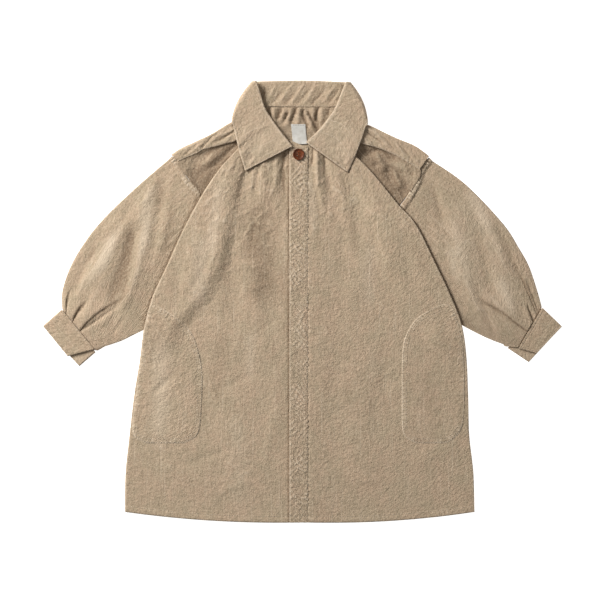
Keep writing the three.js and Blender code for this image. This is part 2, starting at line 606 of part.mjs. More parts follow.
// The collar as a ring round the neck, flattened: its front ends lie on the fronts, its back under the
// back. Each station gives the roll and edge points, the way into the ring, and the stand's height.
function collarStations() {
  const stations = [];
  const topAt = (t) => COLLAR_TOP - COLLAR_EDGE_DROP * t;
  const low = COLLAR_CLOTH / 2;
  const leaf = (name) => {
    const table = COLLAR[name];
    const [roll, edge] = [column(table, "roll"), column(table, "edge")];
    const stand = numberThrough(table.map((row) => row.stand));
    const outward = new THREE.Vector2(name === "left" ? -1 : 1, 0);
    const sideInset = (topAt(0) - low) / 2 + low;
    return [0, 0.14, 0.28, 0.43, 0.57, 0.72, 0.86, 1].map((v) => {
      const inset = outward.clone().multiplyScalar(-sideInset * ramp(v, 0.6, 1));
      return {
        place: (t) => {
          const bulge = COLLAR.sideBulge * ramp(v, 0.4, 1) * Math.sin(Math.PI * t);
          return roll(v).lerp(edge(v), t).add(inset).addScaledVector(outward, bulge);
        },
        height: topAt,
        into: new THREE.Vector3(0, 0, -1),
        stand: stand(v),
      };
    });
  };
  const sideTurn = (name) => {
    const table = COLLAR[name];
    const { roll, edge, stand } = table[table.length - 1];
    const outward = name === "left" ? -1 : 1;
    const radiusAt = (t) => (topAt(t) - low) / 2;
    return [60, 30, 0, -30, -60].map((degrees) => {
      const angle = THREE.MathUtils.degToRad(degrees);
      return {
        place: (t) => {
          const line = new THREE.Vector2(...roll).lerp(new THREE.Vector2(...edge), t);
          const bulge = COLLAR.sideBulge * Math.sin(Math.PI * t);
          line.x += outward * (bulge - radiusAt(0) - low + radiusAt(t) * Math.cos(angle));
          return line;
        },
        height: (t) => low + radiusAt(t) * (1 + Math.sin(angle)),
        into: new THREE.Vector3(-outward * Math.cos(angle), 0, -Math.sin(angle)),
        stand,
      };
    });
  };
  const backPart = () => {
    const inset = (topAt(0) - low) / 2 + low;
    const sides = [COLLAR.left[3], COLLAR.back, COLLAR.right[3]].map((row, i) => ({
      roll: [row.roll[0] + (1 - i) * inset, row.roll[1]],
      edge: [row.edge[0] + (1 - i) * inset, row.edge[1]],
      stand: row.stand,
    }));
    const [roll, edge] = [column(sides, "roll"), column(sides, "edge")];
    const stand = numberThrough(sides.map((row) => row.stand));
    return spread(10).map((v) => ({
      place: (t) => {
        const bulge = COLLAR.sideBulge * Math.sin(Math.PI * t) * (2 * v - 1) ** 3;
        const place = roll(v).lerp(edge(v), t);
        place.x += bulge;
        return place;
      },
      height: () => low,
      into: new THREE.Vector3(0, 0, 1),
      stand: stand(v),
    }));
  };
  stations.push(...leaf("left"), ...sideTurn("left"), ...backPart());
  stations.push(...sideTurn("right").reverse(), ...leaf("right").reverse());
  return stations;
}

function collar() {
  const rows = collarStations().map(({ place, height, into, stand }) => {
    const beyond = heading(place(1), place(0));
    const length = place(0).distanceTo(place(1));
    const start = (ROLL_FOLD + COLLAR_CLOTH / 2) / length;
    const fall = [1, 0.75, 0.5, 0.25, 0].map((t) => {
      const along = lerp(start, 1, t);
      return at(place(along), height(along));
    });
    const rollPoint = fall[fall.length - 1];
    const centre = rollPoint.clone().addScaledVector(into, ROLL_FOLD);
    const turn = halfTurn(centre, beyond, ROLL_FOLD, 4, into).slice(1);
    const inside = [0.5, 1].map((u) => {
      const share = lerp(start, Math.max(start + 0.02, stand / length), u);
      return at(place(share), height(share)).addScaledVector(into, 2 * ROLL_FOLD);
    });
    return [...fall, ...turn, ...inside];
  });
  return new Cloth(COLLAR_CLOTH).patch(rows).geometry();
}

// The label lies over the back's inside
function label() {
  const rows = spread(3).map((v) =>
    spread(3).map((u) => {
      const [x, y] = [lerp(LABEL.left, LABEL.right, u), lerp(LABEL.top, LABEL.bottom, v)];
      const overGathers = NECK_GATHERS.height * (1 - 0.6 * v);
      return new THREE.Vector3(x, y, ON_TABLE + overCollar(x, y) + overGathers + CLOTH / 2 + 3 * SEAM_GAP + LABEL_CLOTH / 2);
    }),
  );
  return new Cloth(LABEL_CLOTH).patch(rows).geometry();
}

function asManifold(geometry) {
  const bare = geometry.clone();
  bare.deleteAttribute("normal");
  bare.deleteAttribute("uv");
  const merged = mergeVertices(bare, 1e-4);
  return new wasm.Manifold(
    new wasm.Mesh({
      numProp: 3,
      vertProperties: new Float32Array(merged.getAttribute("position").array),
      triVerts: new Uint32Array(merged.index.array),
    }),
  );
}

function asGeometry(solid) {
  const mesh = solid.getMesh();
  return new THREE.BufferGeometry()
    .setAttribute("position", new THREE.BufferAttribute(mesh.vertProperties, 3))
    .setIndex(new THREE.BufferAttribute(mesh.triVerts, 1));
}

// A turned button with a raised rim and four sewing holes
function button() {
  const { radius, thick, rim, holeRadius, holeOffset } = BUTTON;
  const dish = radius - 2 * rim;
  const profile = [
    [0, 0], [radius - rim, 0], [radius, rim], [radius, thick - rim / 2], [radius - rim / 2, thick],
    [radius - rim, thick], [dish, thick - rim / 2], [0, thick - rim / 2],
  ].map(([r, z]) => new THREE.Vector2(r, z));
  let solid = asManifold(new THREE.LatheGeometry(profile, 28).rotateX(Math.PI / 2));
  for (const x of [-holeOffset, holeOffset])
    for (const y of [-holeOffset, holeOffset]) {
      const hole = new THREE.CylinderGeometry(holeRadius, holeRadius, 3 * thick, 10).rotateX(Math.PI / 2);
      solid = solid.subtract(asManifold(hole.translate(x, y, 0)));
    }
  return asGeometry(solid);
}

const linen = new THREE.MeshStandardMaterial({ color: 0xb9a588, roughness: 0.95, metalness: 0, name: "linen" });
const horn = new THREE.MeshStandardMaterial({ color: 0x6b2f1c, roughness: 0.4, metalness: 0, name: "button" });
const tape = new THREE.MeshStandardMaterial({ color: 0xe9e9e6, roughness: 0.7, metalness: 0, name: "label" });

const coat = new THREE.Group();

function add(name, geometry, material = linen) {
  const mesh = new THREE.Mesh(geometry, material);
  mesh.name = name;
  coat.add(mesh);
  return mesh;
}

add("back", backPanel());
for (const side of SIDES) {
  add(`front_${side}`, frontPanel(side));
  add(`sleeve_${side}`, sleeve(side));
  add(`cuff_${side}`, cuff(side));
  add(`pocket_${side}`, pocket(side));
}
add("fly", fly());
add("collar", collar());
add("label", label(), tape);
const flyTop = frontHeight("left", BUTTON.x, BUTTON.y) + CLOTH / 2 + SEAM_GAP + DOUBLED_CLOTH;
add("button", button(), horn).position.set(BUTTON.x, BUTTON.y, flyTop + SEAM_GAP);

export default coat;
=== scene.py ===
import math

import bpy
import numpy as np
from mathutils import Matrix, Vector


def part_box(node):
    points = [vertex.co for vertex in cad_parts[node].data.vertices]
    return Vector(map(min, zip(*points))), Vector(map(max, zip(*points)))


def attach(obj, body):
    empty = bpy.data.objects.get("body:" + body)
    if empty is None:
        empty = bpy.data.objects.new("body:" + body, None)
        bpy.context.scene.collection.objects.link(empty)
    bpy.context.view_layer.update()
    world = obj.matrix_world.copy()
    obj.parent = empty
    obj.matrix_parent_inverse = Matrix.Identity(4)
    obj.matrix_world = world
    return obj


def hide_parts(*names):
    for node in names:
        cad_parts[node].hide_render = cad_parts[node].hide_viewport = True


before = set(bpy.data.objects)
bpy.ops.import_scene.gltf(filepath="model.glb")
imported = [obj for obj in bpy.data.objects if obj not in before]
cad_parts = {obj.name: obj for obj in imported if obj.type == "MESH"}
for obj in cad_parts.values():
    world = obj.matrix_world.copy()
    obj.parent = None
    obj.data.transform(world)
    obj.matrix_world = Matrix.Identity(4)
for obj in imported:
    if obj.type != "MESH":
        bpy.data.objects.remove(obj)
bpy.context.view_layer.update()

bpy.ops.object.select_all(action="DESELECT")

# Floor, light and camera. The coat lies on a plain pale floor and is seen from straight above. The main
# light is a large soft one at the upper left, low enough to bring out the folds and seams.
VIEW_WIDTH = 0.81
VIEW_CENTRE = (-0.0036, 0.0024)
CAMERA_HEIGHT = 3.2
FLOOR_SIZE = 6
FLOOR_PALE = (0.93, 0.93, 0.925, 1)
FLOOR_GLOW = 0.85
STUDIO_WHITE = (1, 1, 1, 1)
STUDIO_GLOW = 0.25

bpy.ops.mesh.primitive_plane_add(size=FLOOR_SIZE)
floor = bpy.context.object
floor.name = "floor"
floor_paint = bpy.data.materials.new("floor_paint")
floor_paint.use_nodes = True
floor_shader = floor_paint.node_tree.nodes["Principled BSDF"]
floor_shader.inputs["Base Color"].default_value = FLOOR_PALE
floor_shader.inputs["Roughness"].default_value = 0.9
floor_shader.inputs["Emission Color"].default_value = STUDIO_WHITE
floor_shader.inputs["Emission Strength"].default_value = FLOOR_GLOW
floor.data.materials.append(floor_paint)


def add_light(name, place, size, power):
    data = bpy.data.lights.new(name, "AREA")
    data.size = size
    data.energy = power
    light = bpy.data.objects.new(name, data)
    light.location = place
    light.rotation_euler = (-Vector(place)).to_track_quat("-Z", "Y").to_euler()
    bpy.context.scene.collection.objects.link(light)


add_light("main_light", (-1.6, 1.3, 1.25), 0.9, 86)
add_light("fill_light", (1.2, -1.2, 2.4), 2.2, 5)

sky = bpy.data.worlds.new("studio")
sky.use_nodes = True
sky.node_tree.nodes["Background"].inputs["Color"].default_value = STUDIO_WHITE
sky.node_tree.nodes["Background"].inputs["Strength"].default_value = STUDIO_GLOW
bpy.context.scene.world = sky
bpy.context.scene.view_settings.view_transform = "Standard"

lens = bpy.data.cameras.new("camera")
lens.sensor_width = 36
lens.lens = lens.sensor_width * CAMERA_HEIGHT / VIEW_WIDTH
camera = bpy.data.objects.new("camera", lens)
camera.location = (*VIEW_CENTRE, CAMERA_HEIGHT)
bpy.context.scene.collection.objects.link(camera)
bpy.context.scene.camera = camera

# Back. One wide panel of washed plain-weave linen, gathered into the neck seam, that turns over each
# shoulder to a seam on the front. Places are in millimetres, x across, y up the coat and z off the table.
MM = 0.001
CLOTH = 1.2
SEAM_GAP = 0.3
ON_TABLE = CLOTH / 2
YOKE_TOP = 7.2
YOKE_SLOPE = 0.8
COLLAR_LIFT = 1.8
HEM_BOTTOM = -297.5
SINGLE_CLOTH = 0.9
PINK_TAN = (0.500, 0.362, 0.246, 1)
OLIVE_TAN = (0.440, 0.348, 0.232, 1)
# The dark yarn colour is also that of the painted shade, and the pale yarn colour that of the painted light.
DARK_YARN_AND_SHADE = (0.24, 0.165, 0.103, 1)
PALE_YARN_AND_LIGHT = (0.66, 0.535, 0.395, 1)
YARN = 0.0007
THREAD = (0.88, 0.77, 0.60, 1)
STITCH_LENGTH = 2.5
STITCH_GAP = 0.8
THREAD_WIDTH = 0.75
THREAD_LIFT = 0.12
EDGE_ROW = 1.6
ABOVE_COAT = 0.1
OUTWARD = {"left": -1, "right": 1}

# From the shoulder point down to the underarm, where the back's side edge meets the sleeve
ARMHOLE = {
    "left": [(-174.8, 196), (-168, 188), (-157.5, 169), (-138, 145.5), (-130, 118), (-129, 78), (-142, 30),
             (-180, -22)],
    "right": [(168.3, 193.5), (157.5, 177.5), (154, 166), (141, 142), (125, 116), (123, 74), (137, 28),
              (182, -17)],
}
# ridge: where the cloth turns over the shoulder. seam: where the front is sewn in, in front of it.
SHOULDER = {
    "left": {
        "ridge": [(-174.8, 196.5), (-161.5, 204.8), (-141, 214.5), (-120, 226.5), (-98, 239.5), (-82, 246),
                  (-77, 262)],
        "seam": [(-168, 189.4), (-156.5, 194.8), (-140, 201.8), (-133, 205.5), (-107, 212.3), (-88, 218.5),
                 (-67, 237)],
    },
    "right": {
        "ridge": [(168.3, 194), (160.5, 200.3), (147, 209), (124, 218.5), (94, 234), (77, 243), (69, 262)],
        "seam": [(157.5, 178.2), (146, 185.3), (136, 191.6), (121, 199.3), (102, 207.2), (82, 212.8),
                 (51, 224.5)],
    },
}
BACK_NECK = [(-77, 262), (-64, 263.5), (-48, 264.5), (1, 266), (42, 264.5), (56, 263.5), (69, 262)]
# The side below the underarm, from the hem up
BACK_SIDE = {
    "left": [(-231.4, -283.5), (-226, -234), (-216, -185), (-203, -125), (-192, -82), (-181.5, -36)],
    "right": [(223.4, -283.5), (217, -230), (206.5, -180), (199, -125), (192.5, -72), (182, -31)],
}
# Gathers inside the neck: from x, y to x, y, then width and height, a valley where the height is negative
NECK_GATHERS = [
    (-46, 262, -44, 250, 2.4, -1.2), (-39, 262, -40, 240, 3.0, 1.1), (-29, 261, -34, 246, 1.8, -1.7),
    (-24, 260, -31, 234, 2.6, 1.3), (-20, 256, -30, 236, 2.4, -1.3), (-15, 262, -22, 236, 2.2, 1.2),
    (-10, 262, -10.4, 254, 1.3, -1.8), (-10.4, 256, -17, 240, 1.6, -2.0), (-5, 260, -8, 236, 2.6, 1.1),
    (1.1, 260, 0.3, 249, 1.3, -1.7), (0.3, 252, 7, 236, 1.8, -1.5), (4, 258, 13, 234, 1.9, 1.2),
    (6, 258, 20, 231, 1.7, -2.0), (21.5, 262, 17.2, 249, 1.4, -2.0), (17.3, 252, 21, 229, 1.6, -2.2),
    (13, 262, 15, 246, 2.2, 1.2), (27, 262, 24, 240, 3.2, 1.1), (36, 261, 34, 250, 1.6, -0.9),
]
# Creases of the cloth that turns over each shoulder, the same way
SHOULDER_CREASES = {
    "left": [
        (-84, 238, -112, 222, 1.8, 0.9), (-92, 230, -118, 214, 1.6, -0.8), (-104, 232, -128, 212, 1.8, 0.6),
        (-96, 225, -104, 215, 1.6, 0.7), (-122, 222, -138, 206, 2.0, -0.6), (-135, 214, -150, 202, 1.8, 0.5),
        (-90, 244, -84, 232, 2.2, 1.7), (-95, 241, -89, 229, 1.6, -1.2), (-150, 206, -160, 196, 1.8, -0.5),
    ],
    "right": [
        (82, 238, 100, 226, 2.0, 0.8), (84, 230, 108, 214, 1.6, -0.8), (96, 230, 118, 208, 1.8, 0.7),
        (110, 222, 124, 204, 1.6, -0.6), (122, 216, 140, 196, 1.8, 0.7), (134, 208, 150, 190, 1.7, -0.6),
        (82, 222, 94, 212, 1.8, 0.8), (142, 204, 156, 186, 1.8, 0.6),
    ],
}


class Shade:
    """One shader socket. Operators on it add Math nodes, and node() adds any other node beside it."""

    def __init__(self, tree, socket=None):
        self.tree = tree
        self.socket = socket

    def node(self, kind, inputs=None, output=0, **settings):
        made = self.tree.nodes.new("ShaderNode" + kind)
        for name, value in settings.items():
            setattr(made, name, value)
        for name, value in (inputs or {}).items():
            if isinstance(value, Shade):
                self.tree.links.new(value.socket, made.inputs[name])
            else:
                made.inputs[name].default_value = value
        return Shade(self.tree, made.outputs[output])

    def maths(self, operation, a, b=0.0):
        return self.node("Math", {0: a, 1: b}, operation=operation)

    def __add__(self, other):
        return self.maths("ADD", self, other)

    def __rsub__(self, other):
        return self.maths("SUBTRACT", other, self)

    def __mul__(self, other):
        return self.maths("MULTIPLY", self, other)

    __radd__ = __add__
    __rmul__ = __mul__

    def band(self, low, high):
        """0 below low, 1 above high, smooth between."""
        limits = {"Value": self, "From Min": low, "From Max": high}
        return self.node("MapRange", limits, interpolation_type="SMOOTHSTEP")

    def mix(self, first, second):
        """Between two colours, by this socket."""
        return self.node("Mix", {0: self, 6: first, 7: second}, output=2, data_type="RGBA")

    def patches(self, scale, detail=2.0):
        """Noise at this place, with so many patches to the metre along each axis."""
        stretched = self.node("Mapping", {"Vector": self, "Scale": scale})
        return self.node("TexNoise", {"Vector": stretched, "Scale": 1.0, "Detail": detail})

    def into(self, shader, name):
        self.tree.links.new(self.socket, shader.inputs[name])


def new_paint(name):
    paint = bpy.data.materials.new(name)
    paint.use_nodes = True
    return paint, paint.node_tree.nodes["Principled BSDF"], Shade(paint.node_tree)


def linen(name, crush):
    """Washed linen: uneven yarns, wandering colour, paler worn edges, painted light and shade, and so much
    fine crinkle.
    """
    paint, shader, start = new_paint(name)
    grain = start.node("UVMap", uv_map="grain")
    place = start.node("TexCoord", output="Object")
    wear_and_shading = start.node("Attribute", output="Fac", attribute_name="wear_and_shading")

    mottle = place.patches((34, 26, 34), 4.0)
    small_mottle = place.patches((150, 110, 150), 3.0)
    speckle = place.patches((560, 470, 560), 2.0)
    warp_slub = grain.patches((1100, 34, 1))
    weft_slub = grain.patches((34, 1100, 1))
    thick_yarn = grain.patches((420, 9, 1), 1.0)
    crinkle = grain.patches((230, 230, 1), 4.0)

    hue = (mottle * 0.55 + small_mottle * 0.45).band(0.30, 0.70)
    colour = hue.mix(OLIVE_TAN, PINK_TAN)
    dark = warp_slub.band(0.56, 0.72) * 0.34 + weft_slub.band(0.58, 0.74) * 0.26
    dark = dark + (1 - small_mottle.band(0.34, 0.56)) * 0.14 + (1 - speckle.band(0.36, 0.52)) * 0.26
    # Painted shade: where the attribute is below zero (creases, hollows, under edges), the cloth is mixed
    # towards the dark yarn colour.
    dark = dark + (0 - wear_and_shading).band(0.0, 1.0) * 0.75
    colour = dark.mix(colour, DARK_YARN_AND_SHADE)
    pale = thick_yarn.band(0.62, 0.74) * 0.30 + (1 - warp_slub.band(0.28, 0.42)) * 0.22
    # Paler where the attribute is above zero: worn edges and ridges, and painted light on the broad lit
    # folds.
    pale = pale + wear_and_shading.band(0.0, 1.0) * 0.6 + speckle.band(0.52, 0.68) * 0.24
    pale.mix(colour, PALE_YARN_AND_LIGHT).into(shader, "Base Color")

    (0.84 + small_mottle * 0.12).into(shader, "Roughness")
    shader.inputs["Sheen Weight"].default_value = 0.12
    shader.inputs["Sheen Roughness"].default_value = 0.5
    shader.inputs["Specular IOR Level"].default_value = 0.25

    across = grain.node("SeparateXYZ", {"Vector": grain}, output=0)
    length = grain.node("SeparateXYZ", {"Vector": grain}, output=1)
    weave = start.maths("SINE", across * (math.pi / YARN)) * start.maths("SINE", length * (math.pi / YARN))
    relief = weave * 0.1 + warp_slub * 0.5 + weft_slub * 0.5 + crinkle * 2.2 + speckle * 1.1
    bump = start.node("Bump", {"Height": relief, "Strength": 0.75, "Distance": 0.0008 * crush})
    bump.into(shader, "Normal")
    return paint


linen_cloth = linen("linen_cloth", 1.0)


def lerp(a, b, t):
    return a + (b - a) * t


def ramp(value, low, high):
    """0 below low, 1 above high, smooth between."""
    t = np.clip((value - low) / (high - low), 0, 1)
    return t * t * (3 - 2 * t)


def near(distance, width):
    """1 on a line, fading away on both sides of it."""
    return np.exp(-((distance / width) ** 2))


def along(rows, t):
    """A smooth line through evenly spaced rows of numbers, read at shares t of its length."""
    rows = np.asarray(rows, float)
    last = len(rows) - 1
    place = np.clip(t, 0, 1) * last
    i = np.minimum(place.astype(int), last - 1)
    w = (place - i)[..., None]
    before, here = rows[np.maximum(i - 1, 0)], rows[i]
    there, after = rows[i + 1], rows[np.minimum(i + 2, last)]
    leave, arrive = (there - before) / 2, (after - here) / 2
    cubic = 2 * here - 2 * there + leave + arrive
    square = -3 * here + 3 * there - 2 * leave - arrive
    return cubic * w**3 + square * w**2 + leave * w + here


def run_lengths(points, axis=0):
    """Length run along a line of points, or along each line of a grid of them."""
    steps = np.linalg.norm(np.diff(points, axis=axis), axis=-1)
    first = np.zeros_like(np.take(steps, [0], axis=axis))
    return np.concatenate([first, np.cumsum(steps, axis=axis)], axis=axis)


def unit(vectors):
    return vectors / np.maximum(np.linalg.norm(vectors, axis=-1, keepdims=True), 1e-9)


def at_height(flat, z):
    flat = np.asarray(flat, float)
    return np.concatenate([flat, np.broadcast_to(z, flat.shape[:-1])[..., None]], axis=-1)


def half_turn(centre, out, radius, steps, up=(0, 0, 1)):
    """Points round half a turn for each centre, from below it to above it, without the first point."""
    angle = np.linspace(-math.pi / 2, math.pi / 2, steps + 1)[1:]
    radius = np.asarray(radius, float)[..., None, None]
    swing = out[..., None, :] * np.cos(angle)[:, None] + np.asarray(up)[..., None, :] * np.sin(angle)[:, None]
    return centre[..., None, :] + radius * swing


def noise(x, y, size, seed):
    """Smooth noise between about -1 and 1, with patches about size across."""
    table = np.random.default_rng(seed).uniform(-1, 1, (256, 256))
    gx, gy = x / size + 61.3, y / size + 47.9
    ix, iy = np.floor(gx).astype(int), np.floor(gy).astype(int)
    fx, fy = gx - ix, gy - iy
    fx, fy = fx * fx * (3 - 2 * fx), fy * fy * (3 - 2 * fy)
    below = lerp(table[iy % 256, ix % 256], table[iy % 256, (ix + 1) % 256], fx)
    above = lerp(table[(iy + 1) % 256, ix % 256], table[(iy + 1) % 256, (ix + 1) % 256], fx)
    return lerp(below, above, fy)


def crumple(x, y, seed):
    """The short sharp creases of washed linen, in millimetres."""
    wx = x + 5 * noise(x, y, 17, seed + 1)
    wy = y + 5 * noise(x, y, 15, seed + 2)
    height = np.zeros_like(np.asarray(x, float))
    for size, strength, turn in ((21, 0.42, 0.5), (11, 0.36, -0.7), (6.5, 0.26, 1.2), (4.2, 0.16, -0.2)):
        rx = wx * math.cos(turn) + wy * math.sin(turn)
        ry = wy * math.cos(turn) - wx * math.sin(turn)
        crease = 1 - np.abs(noise(rx, ry * 1.7, size, seed + int(size)))
        height += strength * (crease**5 - 0.25)
    return height * (0.65 + 0.5 * noise(x, y, 60, seed + 9))


def puckers(distance, run, pitch, width, height, seed, slant=0.0):
    """Small ridges across a seam, strongest on it. distance is from the seam, and run is along it."""
    wander = run + slant * distance + 0.35 * pitch * noise(run, distance, 2.2 * pitch, seed)
    wave = 0.5 + 0.5 * np.cos(2 * math.pi * wander / pitch)
    uneven = np.clip(0.55 + 0.6 * noise(run, distance * 0.3, 1.6 * pitch, seed + 3), 0.1, 1.2)
    return height * wave**1.4 * uneven * near(distance, width)


def groove(distance, depth=0.35, width=1.1):
    """The dent that a row of stitches pulls in."""
    return -depth * near(distance, width)


def soft_folds(folds, x, y):
    """The rise of a table of folds: x, y to x, y, width and height."""
    rise = np.zeros_like(np.asarray(x, float))
    for x0, y0, x1, y1, width, height in folds:
        run = math.hypot(x1 - x0, y1 - y0)
        share = ((x - x0) * (x1 - x0) + (y - y0) * (y1 - y0)) / run**2
        across = ((x - x0) * (y1 - y0) - (y - y0) * (x1 - x0)) / run
        across = across + 0.25 * width * noise(x, y, 4 * width, 5)
        ends = ramp(share, -0.15, 0.2) * (1 - ramp(share, 0.75, 1.15))
        rise += height * ends * near(across, width)
    return rise


def cloth_of(name, sheets, thickness, paint=linen_cloth, quarter_turn=False):
    """One piece of cloth from grids of points down the middle of its wall, each with its wear and painted
    light and shade.
    """
    parts = []
    for points, wear_and_shading in sheets:
        rows, columns = points.shape[:2]
        bpy.ops.mesh.primitive_grid_add(x_subdivisions=columns - 1, y_subdivisions=rows - 1, size=1)
        part = bpy.context.object
        mesh = part.data
        mesh.vertices.foreach_set("co", (points * MM).astype(np.float32).ravel())
        grain = np.stack([run_lengths(points, 1), run_lengths(points, 0)], axis=-1) * MM
        if quarter_turn:
            grain = grain[..., ::-1]
        corner_of = np.empty(len(mesh.loops), np.int32)
        mesh.loops.foreach_get("vertex_index", corner_of)
        uv = mesh.uv_layers[0]
        uv.name = "grain"
        uv.data.foreach_set("uv", grain.reshape(-1, 2)[corner_of].astype(np.float32).ravel())
        # Per-point wear, with painted shade below zero and painted light in broad tones above it.
        wear_and_shading_grid = mesh.attributes.new("wear_and_shading", "FLOAT", "POINT")
        wear_and_shading_grid.data.foreach_set("value", np.broadcast_to(wear_and_shading, (rows, columns)).astype(np.float32).ravel())
        mesh.update()
        parts.append(part)
    bpy.ops.object.select_all(action="DESELECT")
    for part in parts:
        part.select_set(True)
    cloth = parts[0]
    bpy.context.view_layer.objects.active = cloth
    if len(parts) > 1:
        bpy.ops.object.join()
    cloth.name = name
    bpy.ops.object.mode_set(mode="EDIT")
    bpy.ops.mesh.select_all(action="SELECT")
    bpy.ops.mesh.remove_doubles(threshold=2e-6)
    bpy.ops.mesh.normals_make_consistent(inside=False)
    bpy.ops.object.mode_set(mode="OBJECT")
    wall = cloth.modifiers.new("wall", "SOLIDIFY")
    wall.thickness = thickness * MM
    wall.offset = 0
    bpy.ops.object.modifier_apply(modifier="wall")
    bpy.ops.object.shade_smooth()
    cloth.data.materials.clear()
    cloth.data.materials.append(paint)
    bpy.ops.object.select_all(action="DESELECT")
    return cloth


def lay(cloth, node, rests_on):
    """Hangs a sheet of cloth from the root, and hides the node it stands for. What it lies on is not used."""
    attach(cloth, "root")
    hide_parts(node)


def top_of(thing, x, y):
    """The height of a piece's top at a place, in millimetres."""
    hit, place, _, _ = thing.ray_cast((x * MM, y * MM, ABOVE_COAT), (0, 0, -1))
    return place.z / MM if hit else math.nan


def thread_paint(name, colour):
    paint, shader, start = new_paint(name)
    twist = start.node("TexCoord", output="Object").patches((900, 900, 900), 1.0)
    (0.75 + twist * 0.5).band(0.8, 1.3).mix(DARK_YARN_AND_SHADE, colour).into(shader, "Base Color")
    shader.inputs["Roughness"].default_value = 0.7
    return paint


linen_thread = thread_paint("linen_thread", THREAD)
bpy.ops.mesh.primitive_uv_sphere_add(segments=6, ring_count=5, radius=0.5)
stitch = bpy.context.object
stitch_points = np.array([point.co for point in stitch.data.vertices])
stitch_faces = [np.array(face.vertices) for face in stitch.data.polygons]
bpy.data.objects.remove(stitch)


def sew(name, cloth, lines, paint=linen_thread):
    """Rows of stitches that lie in the top of a piece of cloth, as one piece of thread."""
    bpy.context.view_layer.update()
    points, faces = [], []
    for line in lines:
        line = np.asarray(line, float)
        run = run_lengths(line)
        for start in np.arange(STITCH_GAP, run[-1] - STITCH_LENGTH, STITCH_LENGTH + STITCH_GAP):
            ends = []
            for at in (start, start + STITCH_LENGTH):
                x, y = np.interp(at, run, line[:, 0]), np.interp(at, run, line[:, 1])
                ends.append((x, y, top_of(cloth, x, y)))
            ends = np.array(ends)
            if np.isnan(ends).any() or abs(ends[1, 2] - ends[0, 2]) > STITCH_LENGTH:
                continue
            forward = unit(ends[1] - ends[0])
            across = unit(np.cross((0, 0, 1), forward))
            frame_of = np.array([across * THREAD_WIDTH, np.cross(forward, across) * THREAD_WIDTH,
                                 forward * STITCH_LENGTH])
            faces += [face + len(points) * len(stitch_points) for face in stitch_faces]
            points.append(ends.mean(axis=0) + (0, 0, THREAD_LIFT) + stitch_points @ frame_of)
    mesh = bpy.data.meshes.new(name)
    mesh.from_pydata((np.concatenate(points) * MM).tolist(), [], [face.tolist() for face in faces])
    mesh.shade_smooth()
    mesh.materials.append(paint)
    thread = bpy.data.objects.new(name, mesh)
    bpy.context.scene.collection.objects.link(thread)
    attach(thread, "root")


def over_collar(x, y):
    """How far cloth is lifted near the neck, where it lies over the collar."""
    beside = np.abs(x + 4) - 91.4
    return COLLAR_LIFT * ramp(y, 222, 235) * (1 - ramp(beside, 2, 18))


def back_edge(side):
    """The side of the back from the hem up to the shoulder point, with more points towards the neck."""
    below = along(BACK_SIDE[side], np.linspace(0, 1, 26))
    t = np.concatenate([np.linspace(1, 0.3, 34), np.linspace(0.3, 0, 58)[1:]])
    armhole = along(ARMHOLE[side], t)
    armhole[:, 0] -= OUTWARD[side] * 3 * SEAM_GAP * np.minimum(1, 5 * t)
    return np.concatenate([below, armhole])


def shoulder_strip(side, base, share):
    """The cloth that turns over a shoulder, from the top of the back to the seam in front of it."""
    seam = along(SHOULDER[side]["seam"], share)
    out = at_height(unit(base[:, :2] - seam), 0.0)
    radius = (YOKE_TOP - base[:, 2]) / 2
    centre = base + np.array([0, 0, 1]) * radius[:, None]
    turn = half_turn(centre, out, radius, 8)
    w = np.linspace(0, 1, 20)[1:]
    flat = lerp(base[:, None, :2], seam[:, None], w[None, :, None])
    x, y = flat[..., 0], flat[..., 1]
    length = np.linalg.norm(base[:, :2] - seam, axis=1)[:, None]
    to_seam = (1 - w) * length
    run = run_lengths(seam)[:, None]
    seed = 60 if side == "left" else 70
    pucker = puckers(to_seam - 3, run, 5.5, 6, 0.75, seed, 0.3)
    creases = 1.4 * soft_folds(SHOULDER_CREASES[side], x, y)
    rise = pucker + creases + groove(to_seam - EDGE_ROW, 0.3) + 0.8 * crumple(x, y, seed)
    rise = rise * ramp(w * length, 0, 4)
    wear_and_shading = 0.6 * ramp(pucker, 0.2, 0.6) + 0.6 * (1 - ramp(to_seam, 0.5, 1.6))
    # Painted shade darkens the crease valleys.
    wear_and_shading = wear_and_shading + 0.4 * ramp(creases, 0.4, 1) - 0.8 * ramp(-creases, 0.3, 1)
    top = at_height(flat, YOKE_TOP - YOKE_SLOPE * w + rise)
    strip = np.concatenate([base[:, None], turn, top], axis=1)
    wear_and_shading_grid = np.concatenate([np.zeros((len(base), 1 + turn.shape[1])), wear_and_shading], axis=1)
    return strip.transpose(1, 0, 2), wear_and_shading_grid.T


